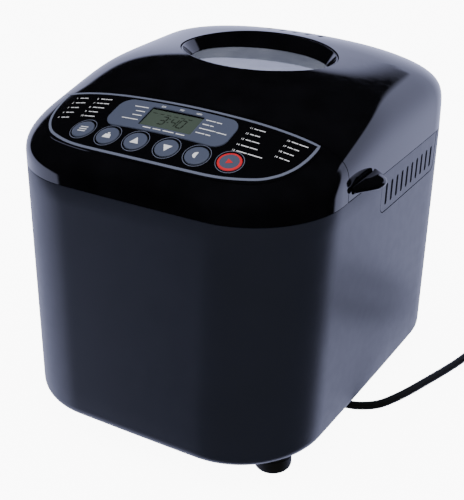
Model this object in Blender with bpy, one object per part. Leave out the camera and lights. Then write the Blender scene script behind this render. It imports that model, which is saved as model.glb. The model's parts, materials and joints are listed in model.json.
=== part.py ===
"""Household bread machine: housing, console, lid, oven chamber, pan and drive, as separate pieces."""
import math

import bmesh
import bpy
from mathutils import Vector

mm = 0.001
gap = 0.3 * mm                      # clearance between touching pieces
far_up = 100 * mm                   # higher above the seam than anything

# Driving sizes of the body
body_width = 260 * mm
body_depth = 306.9 * mm
seam_height = 215 * mm              # where the housing ends and the lid and console begin
base_height = 20 * mm               # underside of the housing above the table
corner_radius = 68.6 * mm
side_taper = 5.6 * mm               # how much narrower each side is at the bottom
front_lean = 8 * mm                 # how much further forward the front is at the bottom
rear_lean = 3.2 * mm                # how much further back the rear is at the bottom
side_bulge = 1.3 * mm
edge_radius = 10 * mm               # rounding under the housing
wall = 2.5 * mm
lip_width = 6 * mm

# Domed top, heights above the seam
front_rise = 26.7 * mm
front_slope = 0.289
roof_rise = 65.7 * mm
roof_blend = 3 * mm
rear_fall_start = 63.5 * mm
rear_fall = 31.3 * mm               # fall of the roof 100 mm behind its start
side_fall = 12 * mm
dome_power = 5.6
console_depth = 78.4 * mm
lid_gap = 0.7 * mm

# Lid
window_half = (66.5 * mm, 48 * mm)
window_rim_rise = 58.2 * mm           # where the funnel round the glass starts
window_lip = 0.8 * mm                 # the rim's edge below the lid's surface
glass_thickness = 2.5 * mm
lid_vent_size = (3 * mm, 10 * mm)
lid_vent_pitch = 11.85 * mm
lid_vent_count = 5
lid_vent_setback = 62.5 * mm        # behind the middle of the window
tab_span = (-72.8 * mm, -36 * mm)
tab_reach = 15 * mm
tab_rise = 3.2 * mm
tab_thickness = 9 * mm
hinge_setback = 6.4 * mm            # hinge axis in front of the housing's back
hinge_rise = 6.5 * mm
hinge_margin = 26.6 * mm            # hinge base past the straight part of the back
knuckle_inset = 33 * mm
arm_rise = 13 * mm                  # how far the lid's arms reach above the hinge
knuckle_radius = 4 * mm
rod_radius = 1.5 * mm
knuckle_width = 22 * mm
lug_width = 7 * mm
lug_gap = 0.5 * mm

# Control panel
button_radius = 8.7 * mm
button_gap = 0.5 * mm
button_places = ((-61.9, -121.1), (-37.6, -124.1), (-13.1, -124.4),
                 (13.1, -124.4), (37.6, -124.1), (61.9, -121.1))
button_names = ("menu", "weight", "up", "down", "colour", "start")
film = 0.6 * mm
overlay_setback = 1.6 * mm          # from the lid line
overlay_edge = ((109.7, -85.3), (108.6, -95.2), (105, -107.2), (98.9, -118.5), (89.6, -127.7),
                (79.6, -133.4), (64.4, -137.8), (49.3, -140.0), (33.2, -140.7), (0, -141.4))
bezel_half = (50.5 * mm, 14.8 * mm)
bezel_radius = 9.5 * mm
bezel_place = (0, -98.7 * mm)
display_half = (22 * mm, 10 * mm)
display_depth = 5 * mm
board_half = (82 * mm, 22 * mm)
board_drop = 13 * mm
board_thickness = 1.6 * mm

# Side grilles
grille_length = 107 * mm
grille_middle = 36.5 * mm
grille_drop = 33 * mm
slot_size = (3.6 * mm, 17.5 * mm)
slot_pitch = 9.75 * mm
slot_count = 10
slot_drop = 18.8 * mm               # middle of the slots below the seam

# Oven chamber and its heater
deck_thickness = 3 * mm
flange_width = 10 * mm
flange_clearance = 7.6 * mm
chamber_side_space = 40 * mm        # housing side to chamber
chamber_rear_space = 48.45 * mm
chamber_floor = 66 * mm
chamber_radius = 30 * mm
sheet = 1 * mm
heater_radius = 3.2 * mm
heater_inset = 7.5 * mm
heater_height = 95 * mm
heater_legs = 14 * mm
sensor_height = 140 * mm
sensor_radius = 2.8 * mm

# Bread pan
pan_side_gap = 22 * mm
pan_end_gap = 24 * mm
pan_floor = 84 * mm
pan_drop = 17 * mm                  # rim below the seam
pan_radius = 24 * mm
pan_taper = 4 * mm
pan_sheet = 1.2 * mm
rim_width = 3 * mm
handle_wire = 2.2 * mm
handle_drop = 10 * mm               # pivot below the rim
paddle_clearance = 18 * mm

# Drive
motor_radius = 27 * mm
motor_place_x = -35 * mm
motor_setback = 53.45 * mm          # motor axis behind the housing's front
chassis_height = 50 * mm
chassis_side_space = 58 * mm
pulley_radius = 40 * mm
pinion_radius = 9 * mm
belt_thickness = 2 * mm
belt_width = 7 * mm
pulley_middle = 38 * mm

# Feet
foot_radius = 14.5 * mm
foot_inset = 29 * mm
foot_bearing = math.radians(39.4)

# Mains cord
cord_radius = 3.5 * mm
cord_exit = (80.3 * mm, -17 * mm, 9 * mm)
relief_length = 32 * mm
coil_centre = (212 * mm, 150 * mm)
coil_mean_radius = 38.5 * mm
cord_route = (
    (80.3, -17, 9), (92, -16.8, 8), (103, -15, 5.2), (113.5, -11.6, 3.7), (124, -6, 3.5), (133, 2.6, 3.5),
    (140, 16.4, 3.5), (146, 32, 3.5), (151.6, 49.7, 3.5), (157.3, 68, 3.5), (162.8, 87, 3.5),
    (167.4, 106, 3.5), (169.5, 116, 3.5), (170, 125.4, 3.5))
tail_route = ((254, 125.3, 8.8), (254, 116, 8.0), (254, 107, 7.4), (254, 99.5, 7.2))
plug_place = (254 * mm, 66 * mm, 7.2 * mm)

# Places worked out from the sizes above
half_width = body_width / 2
half_depth = body_depth / 2
lid_front = -half_depth + console_depth
chamber_half_x = half_width - chamber_side_space
chamber_front = lid_front + wall + flange_clearance + flange_width
chamber_back = half_depth - chamber_rear_space
chamber_y = (chamber_front + chamber_back) / 2
chamber_half_y = (chamber_back - chamber_front) / 2
deck_top = seam_height - gap
pan_half_x = chamber_half_x - pan_side_gap
pan_half_y = chamber_half_y - pan_end_gap
pan_top = seam_height - pan_drop
handle_z = pan_top - handle_drop
hinge_y = half_depth - hinge_setback
hinge_z = seam_height + hinge_rise
hinge_half = half_width - corner_radius + hinge_margin
knuckle_x = hinge_half - knuckle_inset
motor_y = -half_depth + motor_setback
chassis_half = half_width - chassis_side_space


# Shapes ------------------------------------------------------------------------------------------

def outline(half_x, half_y, radius, bulge=0.0, corner_steps=5, side_steps=2):
    """Points of a rounded rectangle, anticlockwise, with slightly bowed sides."""
    radius = min(radius, half_x - 0.1 * mm, half_y - 0.1 * mm)
    arcs = []
    for corner in range(4):
        sign_x = (1, -1, -1, 1)[corner]
        sign_y = (1, 1, -1, -1)[corner]
        centre = Vector((sign_x * (half_x - radius), sign_y * (half_y - radius)))
        turn = [math.radians(90) * (corner + step / corner_steps) for step in range(corner_steps + 1)]
        arcs.append([centre + radius * Vector((math.cos(a), math.sin(a))) for a in turn])
    points = []
    for corner in range(4):
        points += arcs[corner]
        start = arcs[corner][-1]
        end = arcs[(corner + 1) % 4][0]
        points += [start.lerp(end, step / side_steps) for step in range(1, side_steps)]
    return [(x - math.copysign(bulge, x) * (y / half_y) ** 2, y - math.copysign(bulge, y) * (x / half_x) ** 2)
            for x, y in points]


def level(points, height, middle=(0, 0)):
    return [(x + middle[0], y + middle[1], height) for x, y in points]


def circle(radius, height, middle=(0, 0), count=20, half_y=None):
    other = radius if half_y is None else half_y
    return [(middle[0] + radius * math.cos(math.tau * i / count),
             middle[1] + other * math.sin(math.tau * i / count), height) for i in range(count)]


def add_object(name, mesh):
    piece = bpy.data.objects.new(name, mesh)
    bpy.context.scene.collection.objects.link(piece)
    return piece


def mesh_object(name, points, faces):
    """A closed mesh with its doubles merged and its faces pointing out."""
    mesh = bpy.data.meshes.new(name)
    mesh.from_pydata(points, [], faces)
    shape = bmesh.new()
    shape.from_mesh(mesh)
    bmesh.ops.remove_doubles(shape, verts=shape.verts, dist=0.002 * mm)
    bmesh.ops.recalc_face_normals(shape, faces=shape.faces)
    shape.to_mesh(mesh)
    shape.free()
    mesh.shade_smooth()
    mesh.set_sharp_from_angle(angle=math.radians(35))
    return add_object(name, mesh)


def loft(name, rings, closed=False):
    """A skin over rings of equal length, with its ends capped, or joined when it is closed."""
    count = len(rings[0])
    points = [point for ring in rings for point in ring]
    faces = []
    last = len(rings) if closed else len(rings) - 1
    for row in range(last):
        low = row * count
        high = (row + 1) % len(rings) * count
        for i in range(count):
            j = (i + 1) % count
            faces.append((low + i, low + j, high + j, high + i))
    if not closed:
        faces.append(tuple(reversed(range(count))))
        faces.append(tuple(range(len(points) - count, len(points))))
    return mesh_object(name, points, faces)


def turned(name, profile, middle=(0, 0), count=20, closed=True):
    """A profile of (radius, height) pairs in millimetres, turned about a vertical axis."""
    return loft(name, [circle(r * mm, z * mm, middle, count) for r, z in profile], closed)


def box(name, low, high):
    corners = [(low[0], low[1]), (high[0], low[1]), (high[0], high[1]), (low[0], high[1])]
    return loft(name, [level(corners, low[2]), level(corners, high[2])])


def many_boxes(name, spans):
    """One mesh of separate boxes, for cutting a row of slots at once."""
    points = []
    faces = []
    for low, high in spans:
        start = len(points)
        points += [(x, y, z) for z in (low[2], high[2]) for x, y in
                   ((low[0], low[1]), (high[0], low[1]), (high[0], high[1]), (low[0], high[1]))]
        sides = [(0, 3, 2, 1), (4, 5, 6, 7), (0, 1, 5, 4), (1, 2, 6, 5), (2, 3, 7, 6), (3, 0, 4, 7)]
        faces += [tuple(start + i for i in side) for side in sides]
    return mesh_object(name, points, faces)


def rod(name, start, end, radius, count=12, end_radius=None):
    """A round bar between two points, tapered when its end radius is given."""
    start = Vector(start)
    end = Vector(end)
    along = (end - start).normalized()
    side = along.orthogonal().normalized()
    other = along.cross(side)
    rings = []
    for centre, r in ((start, radius), (end, radius if end_radius is None else end_radius)):
        angles = [math.tau * i / count for i in range(count)]
        rings.append([centre + r * (math.cos(a) * side + math.sin(a) * other) for a in angles])
    return loft(name, rings)


def combine(piece, operation, others):
    """Apply one Boolean for each other piece, which is used up."""
    for other in others:
        modifier = piece.modifiers.new("combine", "BOOLEAN")
        modifier.operation = operation
        modifier.object = other
    bpy.context.view_layer.update()
    graph = bpy.context.evaluated_depsgraph_get()
    mesh = bpy.data.meshes.new_from_object(piece.evaluated_get(graph))
    piece.modifiers.clear()
    piece.data = mesh
    mesh.name = piece.name
    for other in others:
        bpy.data.objects.remove(other)
    return piece


def cut(piece, *others):
    return combine(piece, "DIFFERENCE", others)


def join(piece, *others):
    return combine(piece, "UNION", others)


def keep(piece, *others):
    return combine(piece, "INTERSECT", others)


def smooth_route(points, spacing):
    """Points about one spacing apart on a smooth curve through the route's own points."""
    route = [Vector(point) * mm for point in points]
    ends = [2 * route[0] - route[1]] + route + [2 * route[-1] - route[-2]]
    result = []
    for i in range(1, len(ends) - 2):
        before, start, end, after = ends[i - 1:i + 3]
        steps = max(1, round((end - start).length / spacing))
        for step in range(steps):
            t = step / steps
            result.append(0.5 * (2 * start + (end - before) * t
                                 + (2 * before - 5 * start + 4 * end - after) * t ** 2
                                 + (3 * start - before - 3 * end + after) * t ** 3))
    return result + [route[-1]]


def wire(name, points, radius, resolution=2):
    """A round wire or cord along its points, with filled ends."""
    curve = bpy.data.curves.new(name, "CURVE")
    curve.dimensions = "3D"
    curve.bevel_depth = radius
    curve.bevel_resolution = resolution
    curve.use_fill_caps = True
    spline = curve.splines.new("POLY")
    spline.points.add(len(points) - 1)
    for place, point in zip(spline.points, points):
        place.co = (*point, 1)
    return add_object(name, curve)


def finish(piece, material):
    piece.data.materials.clear()
    piece.data.materials.append(material)
    return piece


def pivot(name, place):
    point = bpy.data.objects.new(name, None)
    bpy.context.scene.collection.objects.link(point)
    point.location = place
    return point


def hang(point, *pieces):
    for piece in pieces:
        piece.parent = point
        piece.location -= point.location


def new_material(name, colour, roughness, metallic=0.0):
    material = bpy.data.materials.new(name)
    material.use_nodes = True
    shader = material.node_tree.nodes["Principled BSDF"]
    shader.inputs["Base Color"].default_value = (*colour, 1)
    shader.inputs["Roughness"].default_value = roughness
    shader.inputs["Metallic"].default_value = metallic
    material.diffuse_color = (*colour, 1)
    return material


# The domed top -----------------------------------------------------------------------------------

def dome_rise(x, y):
    """Height of the dome over the seam, before its edge rounds down."""
    front = front_rise + front_slope * (y + half_depth)
    roof = roof_rise - rear_fall * (max(0, y - rear_fall_start) / (100 * mm)) ** 2
    low = min(front, roof)
    soft = math.exp((low - front) / roof_blend) + math.exp((low - roof) / roof_blend)
    return low - roof_blend * math.log(soft) - side_fall * (x / half_width) ** 2


def dome_solid(name, inset, lift, floor=0.0):
    """The space under the dome, with its edge moved in and its surface moved up."""
    edge = outline(half_width - inset, half_depth - inset, corner_radius - inset, side_bulge, 6, 4)
    rings = [level(edge, seam_height + floor)]
    steps = 9
    for step in range(steps + 1):
        turn = math.radians(90) * step / steps
        share = math.cos(turn) ** (2 / dome_power) if step < steps else 0.2
        climb = math.sin(turn) ** (2 / dome_power)
        rings.append([(x * share, y * share, seam_height + (dome_rise(x * share, y * share) + lift) * climb)
                      for x, y in edge])
    rings.append([(0, 0, seam_height + dome_rise(0, 0) + lift)] * len(edge))
    if floor == 0.0:
        rings.pop(0)
    count = len(edge)
    points = [point for ring in rings for point in ring]
    faces = [tuple(reversed(range(count)))]
    for row in range(len(rings) - 1):
        for i in range(count):
            j = (i + 1) % count
            faces.append((row * count + i, row * count + j, (row + 1) * count + j, (row + 1) * count + i))
    return mesh_object(name, points, faces)


def edge_share(x, y):
    """0 in the middle of the plan and 1 on its outline."""
    low, high = 0.0, 1.0
    for _ in range(40):
        middle = (low + high) / 2
        across = abs(x) / max(middle, 1e-9) - (half_width - corner_radius)
        along = abs(y) / max(middle, 1e-9) - (half_depth - corner_radius)
        outside = math.hypot(max(across, 0), max(along, 0)) + min(max(across, along), 0)
        low, high = (middle, high) if outside > corner_radius else (low, middle)
    return high


def dome_height(x, y):
    climb = (1 - edge_share(x, y) ** dome_power) ** (1 / dome_power)
    return seam_height + dome_rise(x, y) * climb


def dome_normal(x, y):
    step = 2 * mm
    slope_x = (dome_height(x + step, y) - dome_height(x - step, y)) / (2 * step)
    slope_y = (dome_height(x, y + step) - dome_height(x, y - step)) / (2 * step)
    return Vector((-slope_x, -slope_y, 1)).normalized()


def far_box(name, low_y, high_y):
    return box(name, (-1, low_y, -1), (1, high_y, 1))


# Housing -----------------------------------------------------------------------------------------

def housing_ring(height, inset):
    """One outline of the housing: narrower and deeper towards the bottom."""
    share = (seam_height - height) / (seam_height - base_height)
    grow = (front_lean + rear_lean) / 2 * share
    points = outline(half_width - side_taper * share - inset, half_depth + grow - inset,
                     corner_radius - inset, side_bulge)
    return level(points, height, (0, (rear_lean - front_lean) / 2 * share))


def make_housing(material):
    steps = 3
    turns = [math.radians(90) * step / steps for step in range(steps + 1)]
    rings = [housing_ring(base_height + edge_radius * (1 - math.cos(a)), edge_radius * (1 - math.sin(a)))
             for a in turns]
    rings += [housing_ring(seam_height - gap, 0), housing_ring(seam_height - gap, wall)]
    inner = edge_radius - wall
    rings += [housing_ring(base_height + edge_radius - inner * math.sin(a), wall + inner * (1 - math.cos(a)))
              for a in turns]
    rings += [housing_ring(base_height + wall, edge_radius + lip_width),
              housing_ring(base_height, edge_radius + lip_width)]
    housing = loft("outer_housing", rings, closed=True)
    cut(housing, *[grille_space(side, 0) for side in (-1, 1)])
    finish(housing, material)


def grille_space(side, inset):
    """The block of space in a side wall that a grille fills."""
    low = (half_width - 20 * mm, grille_middle - grille_length / 2 + inset, seam_height - grille_drop + inset)
    high = (half_width + 10 * mm, grille_middle + grille_length / 2 - inset, seam_height + 5 * mm)
    if side < 0:
        low, high = (-high[0], low[1], low[2]), (-low[0], high[1], high[2])
    return box("grille_space", low, high)


def make_grilles(material):
    for side, name in ((1, "vent_grille_right"), (-1, "vent_grille_left")):
        bottom = seam_height - grille_drop - 5 * mm
        rings = [housing_ring(bottom, 0.2 * mm), housing_ring(seam_height - gap, 0.2 * mm),
                 housing_ring(seam_height - gap, wall), housing_ring(bottom, wall)]
        grille = loft(name, rings, closed=True)
        keep(grille, grille_space(side, gap))
        slots = []
        for i in range(slot_count):
            y = grille_middle + (i - (slot_count - 1) / 2) * slot_pitch
            z = seam_height - slot_drop
            near, far = sorted((side * (half_width - 15 * mm), side * (half_width + 5 * mm)))
            slots.append(((near, y - slot_size[0] / 2, z - slot_size[1] / 2),
                          (far, y + slot_size[0] / 2, z + slot_size[1] / 2)))
        cut(grille, many_boxes("slots", slots))
        finish(grille, material)


def make_base_plate(material):
    low = base_height + wall + gap
    inset = edge_radius
    plate = loft("base_plate", [housing_ring(low, inset), housing_ring(low + wall, inset)])
    x, y, z = cord_exit
    end = x - relief_length - gap
    join(plate, box("cord_boss", (end - 22 * mm, y - 9 * mm, z - 5.5 * mm), (end, y + 9 * mm, low + 1 * mm)))
    vents = [((-12 * mm * i - 40 * mm, -40 * mm, low - 1 * mm),
              (-12 * mm * i - 36 * mm, 20 * mm, low + 4 * mm))
             for i in range(4)]
    cut(plate, many_boxes("base_vents", vents))
    finish(plate, material)


def make_feet(material):
    reach = corner_radius - foot_inset
    for name, side_x, side_y in (("foot_front_left", -1, -1), ("foot_front_right", 1, -1),
                                 ("foot_rear_left", -1, 1), ("foot_rear_right", 1, 1)):
        x = half_width - side_taper - corner_radius + reach * math.cos(foot_bearing) + 7 * mm
        y = half_depth - corner_radius + reach * math.sin(foot_bearing)
        top = (base_height - gap) / mm
        r = foot_radius / mm
        profile = ((r - 4.5, 0), (r - 1.5, 1.5), (r, 6), (r, top), (4, top), (4, (base_height + wall) / mm))
        finish(turned(name, profile, (side_x * x, side_y * y), 18, closed=False), material)


def make_deck(material):
    hole = chamber_half_x + sheet + gap, chamber_half_y + sheet + gap, chamber_radius + sheet + gap
    outer = outline(half_width - wall - gap, half_depth - wall - gap, corner_radius - wall - gap, side_bulge)
    inner = outline(*hole)
    low = deck_top - deck_thickness
    rings = [level(outer, low), level(outer, deck_top), level(inner, deck_top, (0, chamber_y)),
             level(inner, low, (0, chamber_y))]
    finish(loft("top_deck", rings, closed=True), material)


# Console -----------------------------------------------------------------------------------------

def panel_prism(name):
    """An upright block with the control panel's outline: square top corners and a bowed lower edge."""
    right = [(overlay_edge[0][0], (lid_front - overlay_setback) / mm)] + list(overlay_edge)
    left = [(-x, y) for x, y in right[:-1]]
    points = [(x * mm, y * mm) for x, y in right[::-1] + left]
    return loft(name, [level(points, seam_height), level(points, seam_height + far_up)])


def bezel_prism(name):
    points = outline(bezel_half[0], bezel_half[1], bezel_radius, 0, 5, 3)
    heights = seam_height, seam_height + far_up
    return loft(name, [level(points, height, bezel_place) for height in heights])


def display_prism(name, grow):
    x, y = display_half[0] + grow, display_half[1] + grow
    return box(name, (-x, bezel_place[1] - y, seam_height), (x, bezel_place[1] + y, seam_height + far_up))


def button_holes(grow):
    holes = []
    for x, y in button_places:
        place = Vector((x * mm, y * mm, dome_height(x * mm, y * mm)))
        along = dome_normal(x * mm, y * mm)
        holes.append(rod("hole", place - 9 * mm * along, place + 9 * mm * along, button_radius + grow, 16))
    return holes


def make_console(material):
    console = dome_solid("front_console", 0, 0)
    keep(console, far_box("front_half", -1, lid_front - lid_gap))
    hollow = dome_solid("hollow", wall, -wall, -1 * mm)
    keep(hollow, far_box("front_room", -1, lid_front - lid_gap - wall))
    cut(console, hollow)
    cut(console, display_prism("display_hole", 1 * mm), *button_holes(button_gap))
    finish(console, material)


def panel_film(name, low, prism):
    """A thin skin that follows the console, cut to the outline of a prism."""
    skin = keep(dome_solid(name, 0, low + film), prism)
    return cut(skin, dome_solid("under", 0, low, -2 * mm))


def make_overlay(material):
    overlay = panel_film("control_overlay", gap, panel_prism("panel"))
    cut(overlay, display_prism("display_hole", 1 * mm), *button_holes(button_gap))
    finish(overlay, material)


def make_bezel(material):
    bezel = panel_film("display_bezel", gap + film + gap, bezel_prism("bezel"))
    cut(bezel, display_prism("display_hole", gap))
    finish(bezel, material)


def make_display(material):
    """A flat display module behind the bezel, tilted with the panel."""
    y = bezel_place[1]
    rise = dome_height(0, y + display_half[1]) - dome_height(0, y - display_half[1])
    slope = rise / (2 * display_half[1])
    top = dome_height(0, y) + film
    rings = []
    for drop in (display_depth, 0):
        corners = ((-1, -1), (1, -1), (1, 1), (-1, 1))
        rings.append([(sx * display_half[0], y + sy * display_half[1],
                       top - drop + slope * sy * display_half[1]) for sx, sy in corners])
    finish(loft("lcd_display", rings), material)


def make_buttons(grey, red):
    """Each button is turned about its own axis, square to the panel."""
    for name, (x, y) in zip(button_names, button_places):
        r = button_radius / mm
        profile = ((r, -4.5), (r, 0.7), (r - 0.6, 1.15), (r - 4, 1.3))
        button = turned("button_" + name, profile, (0, 0), 18, closed=False)
        button.location = (x * mm, y * mm, dome_height(x * mm, y * mm))
        button.rotation_mode = "QUATERNION"
        button.rotation_quaternion = dome_normal(x * mm, y * mm).to_track_quat("Z", "Y")
        finish(button, red if name == "start" else grey)


def make_control_board(material):
    half_x, half_y = board_half
    y = bezel_place[1] - 10 * mm
    top = dome_height(0, y) - board_drop
    rings = []
    for height in (top - board_thickness, top):
        corners = ((-1, -1), (1, -1), (1, 1), (-1, 1))
        rings.append([(sx * half_x, y + sy * half_y, height + front_slope * sy * half_y)
                      for sx, sy in corners])
    finish(loft("control_board", rings), material)


# Lid ---------------------------------------------------------------------------------------------

def make_lid_cover(material):
    cover = dome_solid("lid_cover", 0, 0)
    keep(cover, far_box("rear_half", lid_front, 1))
    hollow = dome_solid("hollow", wall, -wall, -1 * mm)
    keep(hollow, far_box("rear_room", lid_front + wall, 1))
    cut(cover, hollow)
    vents = []
    for i in range(lid_vent_count):
        x = (i - (lid_vent_count - 1) / 2) * lid_vent_pitch
        y = chamber_y + lid_vent_setback
        half = lid_vent_size[0] / 2, lid_vent_size[1] / 2
        vents.append(((x - half[0], y - half[1], seam_height + 40 * mm),
                      (x + half[0], y + half[1], seam_height + far_up)))
    window = loft("window_hole", [window_ring(0, height)
                                  for height in (seam_height + 20 * mm, seam_height + far_up)])
    notch = box("hinge_notch", (-hinge_half - 2 * mm, hinge_y - 7 * mm, seam_height - 5 * mm),
                (hinge_half + 2 * mm, half_depth + 5 * mm, hinge_z + knuckle_radius + 0.5 * mm))
    skirt = box("skirt", (-1, -1, seam_height - 1 * mm), (1, 1, seam_height + 0.4 * mm))
    cut(cover, many_boxes("vents", vents), window, notch, skirt)
    bosses = []
    for side_x in (-1, 1):
        for side_y in (-1, 1):
            x = side_x * (chamber_half_x + 4.5 * mm)
            y = chamber_y + side_y * (chamber_half_y - 30 * mm)
            top = dome_height(x, y) - 1.2 * mm
            bosses.append(rod("boss", (x, y, seam_height + 5.6 * mm), (x, y, top), 3.5 * mm, 10))
    join(cover, *bosses)
    return finish(cover, material)


def window_ring(inset, height, count=32):
    return circle(window_half[0] - inset * mm, height, (0, chamber_y), count, window_half[1] - inset * mm)


def window_lip_ring(inset):
    """The rim's edge, which follows the lid's surface round the window."""
    return [(x, y, dome_height(x, y) - window_lip) for x, y, z in window_ring(inset, 0)]


def make_window_rim(material):
    """A funnel from the lid's surface down to the glass, with a short collar under it."""
    top = seam_height + window_rim_rise
    near = gap / mm
    rings = [window_ring(near, top - 8.7 * mm), window_lip_ring(near), window_lip_ring(1.5)]
    rings += [window_ring(inset, top - drop * mm)
              for inset, drop in ((8, 4.2), (8, 5.2), (3.7, 5.2), (3.7, 8.7))]
    return finish(loft("window_rim", rings, closed=True), material)


def make_window_glass(material):
    top = seam_height + window_rim_rise - 5.2 * mm - gap
    glass = loft("window_glass", [window_ring(4.0, top - glass_thickness), window_ring(4.0, top)])
    return finish(glass, material)


def make_lid_liner(material):
    """The metal tray inside the lid, with a hole under the window."""
    profile = ((10, 5.2, 0), (10, 4.0, 0), (-2, 4.0, 0), (-8, 44.5, 0), (-12, 46, 0), (0, 46, 1),
               (0, 47.2, 1),
               (-11, 47.2, 0), (-6.8, 44.9, 0), (-0.8, 5.2, 0))
    rings = []
    for grow, rise, hole in profile:
        if hole:
            x, y = window_half[0] - 10 * mm, window_half[1] - 8 * mm
            points = outline(x, y, y)
        else:
            grow = grow * mm
            points = outline(chamber_half_x + grow, chamber_half_y + grow, chamber_radius + grow)
        rings.append(level(points, seam_height + rise * mm, (0, chamber_y)))
    return finish(loft("lid_liner", rings, closed=True), material)


def make_lid_gasket(material):
    rings = []
    for grow, rise in ((9, 1.3), (9, 3.7), (1.5, 3.7), (1.5, 1.3)):
        points = outline(chamber_half_x + grow * mm, chamber_half_y + grow * mm, chamber_radius + grow * mm)
        rings.append(level(points, seam_height + rise * mm, (0, chamber_y)))
    return finish(loft("lid_gasket", rings, closed=True), material)


def make_lid_tab(name, side, material):
    """A leaf that swells out of the lid's side, thin at its root and round at its end."""
    start, end = tab_span
    root = half_width + 0.4 * mm
    points = [(root, start), (root + 3 * mm, start)]
    middle = (start + end) / 2 + 3 * mm
    radius = (end - middle)
    for step in range(9):
        a = math.radians(-50 + 140 * step / 8)
        points.append((root + tab_reach - radius + radius * math.cos(a), middle + radius * math.sin(a)))
    points.append((root, end))
    points = [(side * x, y) for x, y in points]
    low = seam_height + tab_rise
    return finish(loft(name, [level(points, low), level(points, low + tab_thickness)]), material)


def x_rod(name, low, high, radius, count=12):
    return rod(name, (low, hinge_y, hinge_z), (high, hinge_y, hinge_z), radius, count)


def make_lid_hinge(name, side, material):
    middle = side * knuckle_x
    low, high = middle - knuckle_width / 2, middle + knuckle_width / 2
    arm = box(name, (low, hinge_y - 3 * mm, hinge_z), (high, hinge_y + 1.8 * mm, hinge_z + arm_rise))
    join(arm, x_rod("knuckle", low, high, knuckle_radius))
    cut(arm, x_rod("bore", low - 1 * mm, high + 1 * mm, rod_radius + gap))
    return finish(arm, material)


def make_hinge_base(material):
    lip_front = hinge_y - 7.5 * mm
    lip = box("rear_hinge_base", (-hinge_half, lip_front, seam_height),
              (hinge_half, lip_front + wall, hinge_z + 2 * mm))
    reach = knuckle_width / 2 + lug_gap
    lugs = []
    bores = []
    for side in (-1, 1):
        for edge in (-1, 1):
            near = side * knuckle_x + edge * reach
            far = near + edge * lug_width
            low, high = min(near, far), max(near, far)
            lugs.append(box("lug", (low, lip_front + 1 * mm, seam_height), (high, hinge_y, hinge_z)))
            lugs.append(x_rod("lug_round", low, high, knuckle_radius))
            bores.append(x_rod("bore", low - 0.2 * mm, high + 0.2 * mm, rod_radius + gap, 12))
    join(lip, *lugs)
    cut(lip, *bores)
    finish(lip, material)


# Oven chamber and pan ----------------------------------------------------------------------------

def make_chamber(material):
    profile = ((-7, 0), (-1.3, 1.7), (1, 8), (1, None), (10, None), (10, "top"), (0, "top"), (0, 8.2),
               (-2.2, 2.7), (-7.2, 1.2))
    rings = []
    for grow, height in profile:
        points = outline(chamber_half_x + grow * mm, chamber_half_y + grow * mm, chamber_radius + grow * mm)
        if height is None:
            z = seam_height
        elif height == "top":
            z = seam_height + 0.9 * mm
        else:
            z = chamber_floor + height * mm
        rings.append(level(points, z, (0, chamber_y)))
    chamber = loft("oven_chamber", rings)
    shaft_hole = turned("shaft_hole", ((11, 60), (11, 75)), (0, chamber_y), 20, closed=False)
    legs = [rod("leg_hole", (side * heater_legs, chamber_front - 5 * mm, heater_height),
                (side * heater_legs, chamber_front + 3 * mm, heater_height), heater_radius + 0.8 * mm, 12)
            for side in (-1, 1)]
    sensor = rod("sensor_hole", (-chamber_half_x - 4 * mm, chamber_y, sensor_height),
                 (-chamber_half_x + 4 * mm, chamber_y, sensor_height), sensor_radius + 2 * gap, 12)
    cut(chamber, shaft_hole, *legs, sensor)
    finish(chamber, material)


def make_heater(material):
    """A rod bent into a loop round the pan, with its two ends out through the front wall."""
    half_x = chamber_half_x - heater_inset
    half_y = chamber_half_y - heater_inset
    radius = chamber_radius - heater_inset + 2 * mm
    loop = outline(half_x, half_y, radius, 0, 6, 4)
    loop = [(x, y + chamber_y) for x, y in loop]
    bend = 9 * mm
    front = [point for point in loop if abs(point[0]) < heater_legs + bend and point[1] < chamber_y]
    loop = [point for point in loop if point not in front]
    start = max(range(len(loop)), key=lambda i: (loop[i][1] < chamber_y, -abs(loop[i][0]), loop[i][0] > 0))
    loop = loop[start:] + loop[:start]
    if loop[0][0] < 0:
        loop = loop[1:] + loop[:1]
    y = chamber_y - half_y
    legs = []
    for side in (1, -1):
        leg = [(side * heater_legs, chamber_front - 16 * mm), (side * heater_legs, y - bend)]
        for step in range(1, 5):
            a = math.radians(90 * step / 4)
            leg.append((side * (heater_legs + bend * (1 - math.cos(a))), y - bend + bend * math.sin(a)))
        legs.append(leg)
    points = legs[0] + loop + legs[1][::-1]
    heater = wire("heating_element", [(x, y, heater_height) for x, y in points], heater_radius, 1)
    finish(heater, material)


def make_sensor(material):
    x = -chamber_half_x - sheet
    probe = rod("temperature_sensor", (x - 10 * mm, chamber_y, sensor_height),
                (x + 14 * mm, chamber_y, sensor_height), sensor_radius, 12)
    collar = rod("collar", (x - 6 * mm, chamber_y, sensor_height),
                 (x - gap, chamber_y, sensor_height), 7 * mm, 12)
    finish(join(probe, collar), material)


def floor_profile(pairs):
    return tuple((r, z + chamber_floor / mm) for r, z in pairs)


def make_pan_socket(material):
    profile = floor_profile(((30, 1.5), (44, 1.5), (44, 3), (37, 3), (37, 12), (34, 12), (34, 3.2),
                             (30, 3.2)))
    finish(turned("pan_socket", profile, (0, chamber_y), 24), material)


def pan_ring(height, grow, shrink=0.0):
    taper = pan_taper * (pan_top - height) / (pan_top - pan_floor)
    x = pan_half_x - taper + grow * mm - shrink
    y = pan_half_y - taper + grow * mm - shrink
    return level(outline(x, y, pan_radius + grow * mm - shrink), height, (0, chamber_y))


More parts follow.
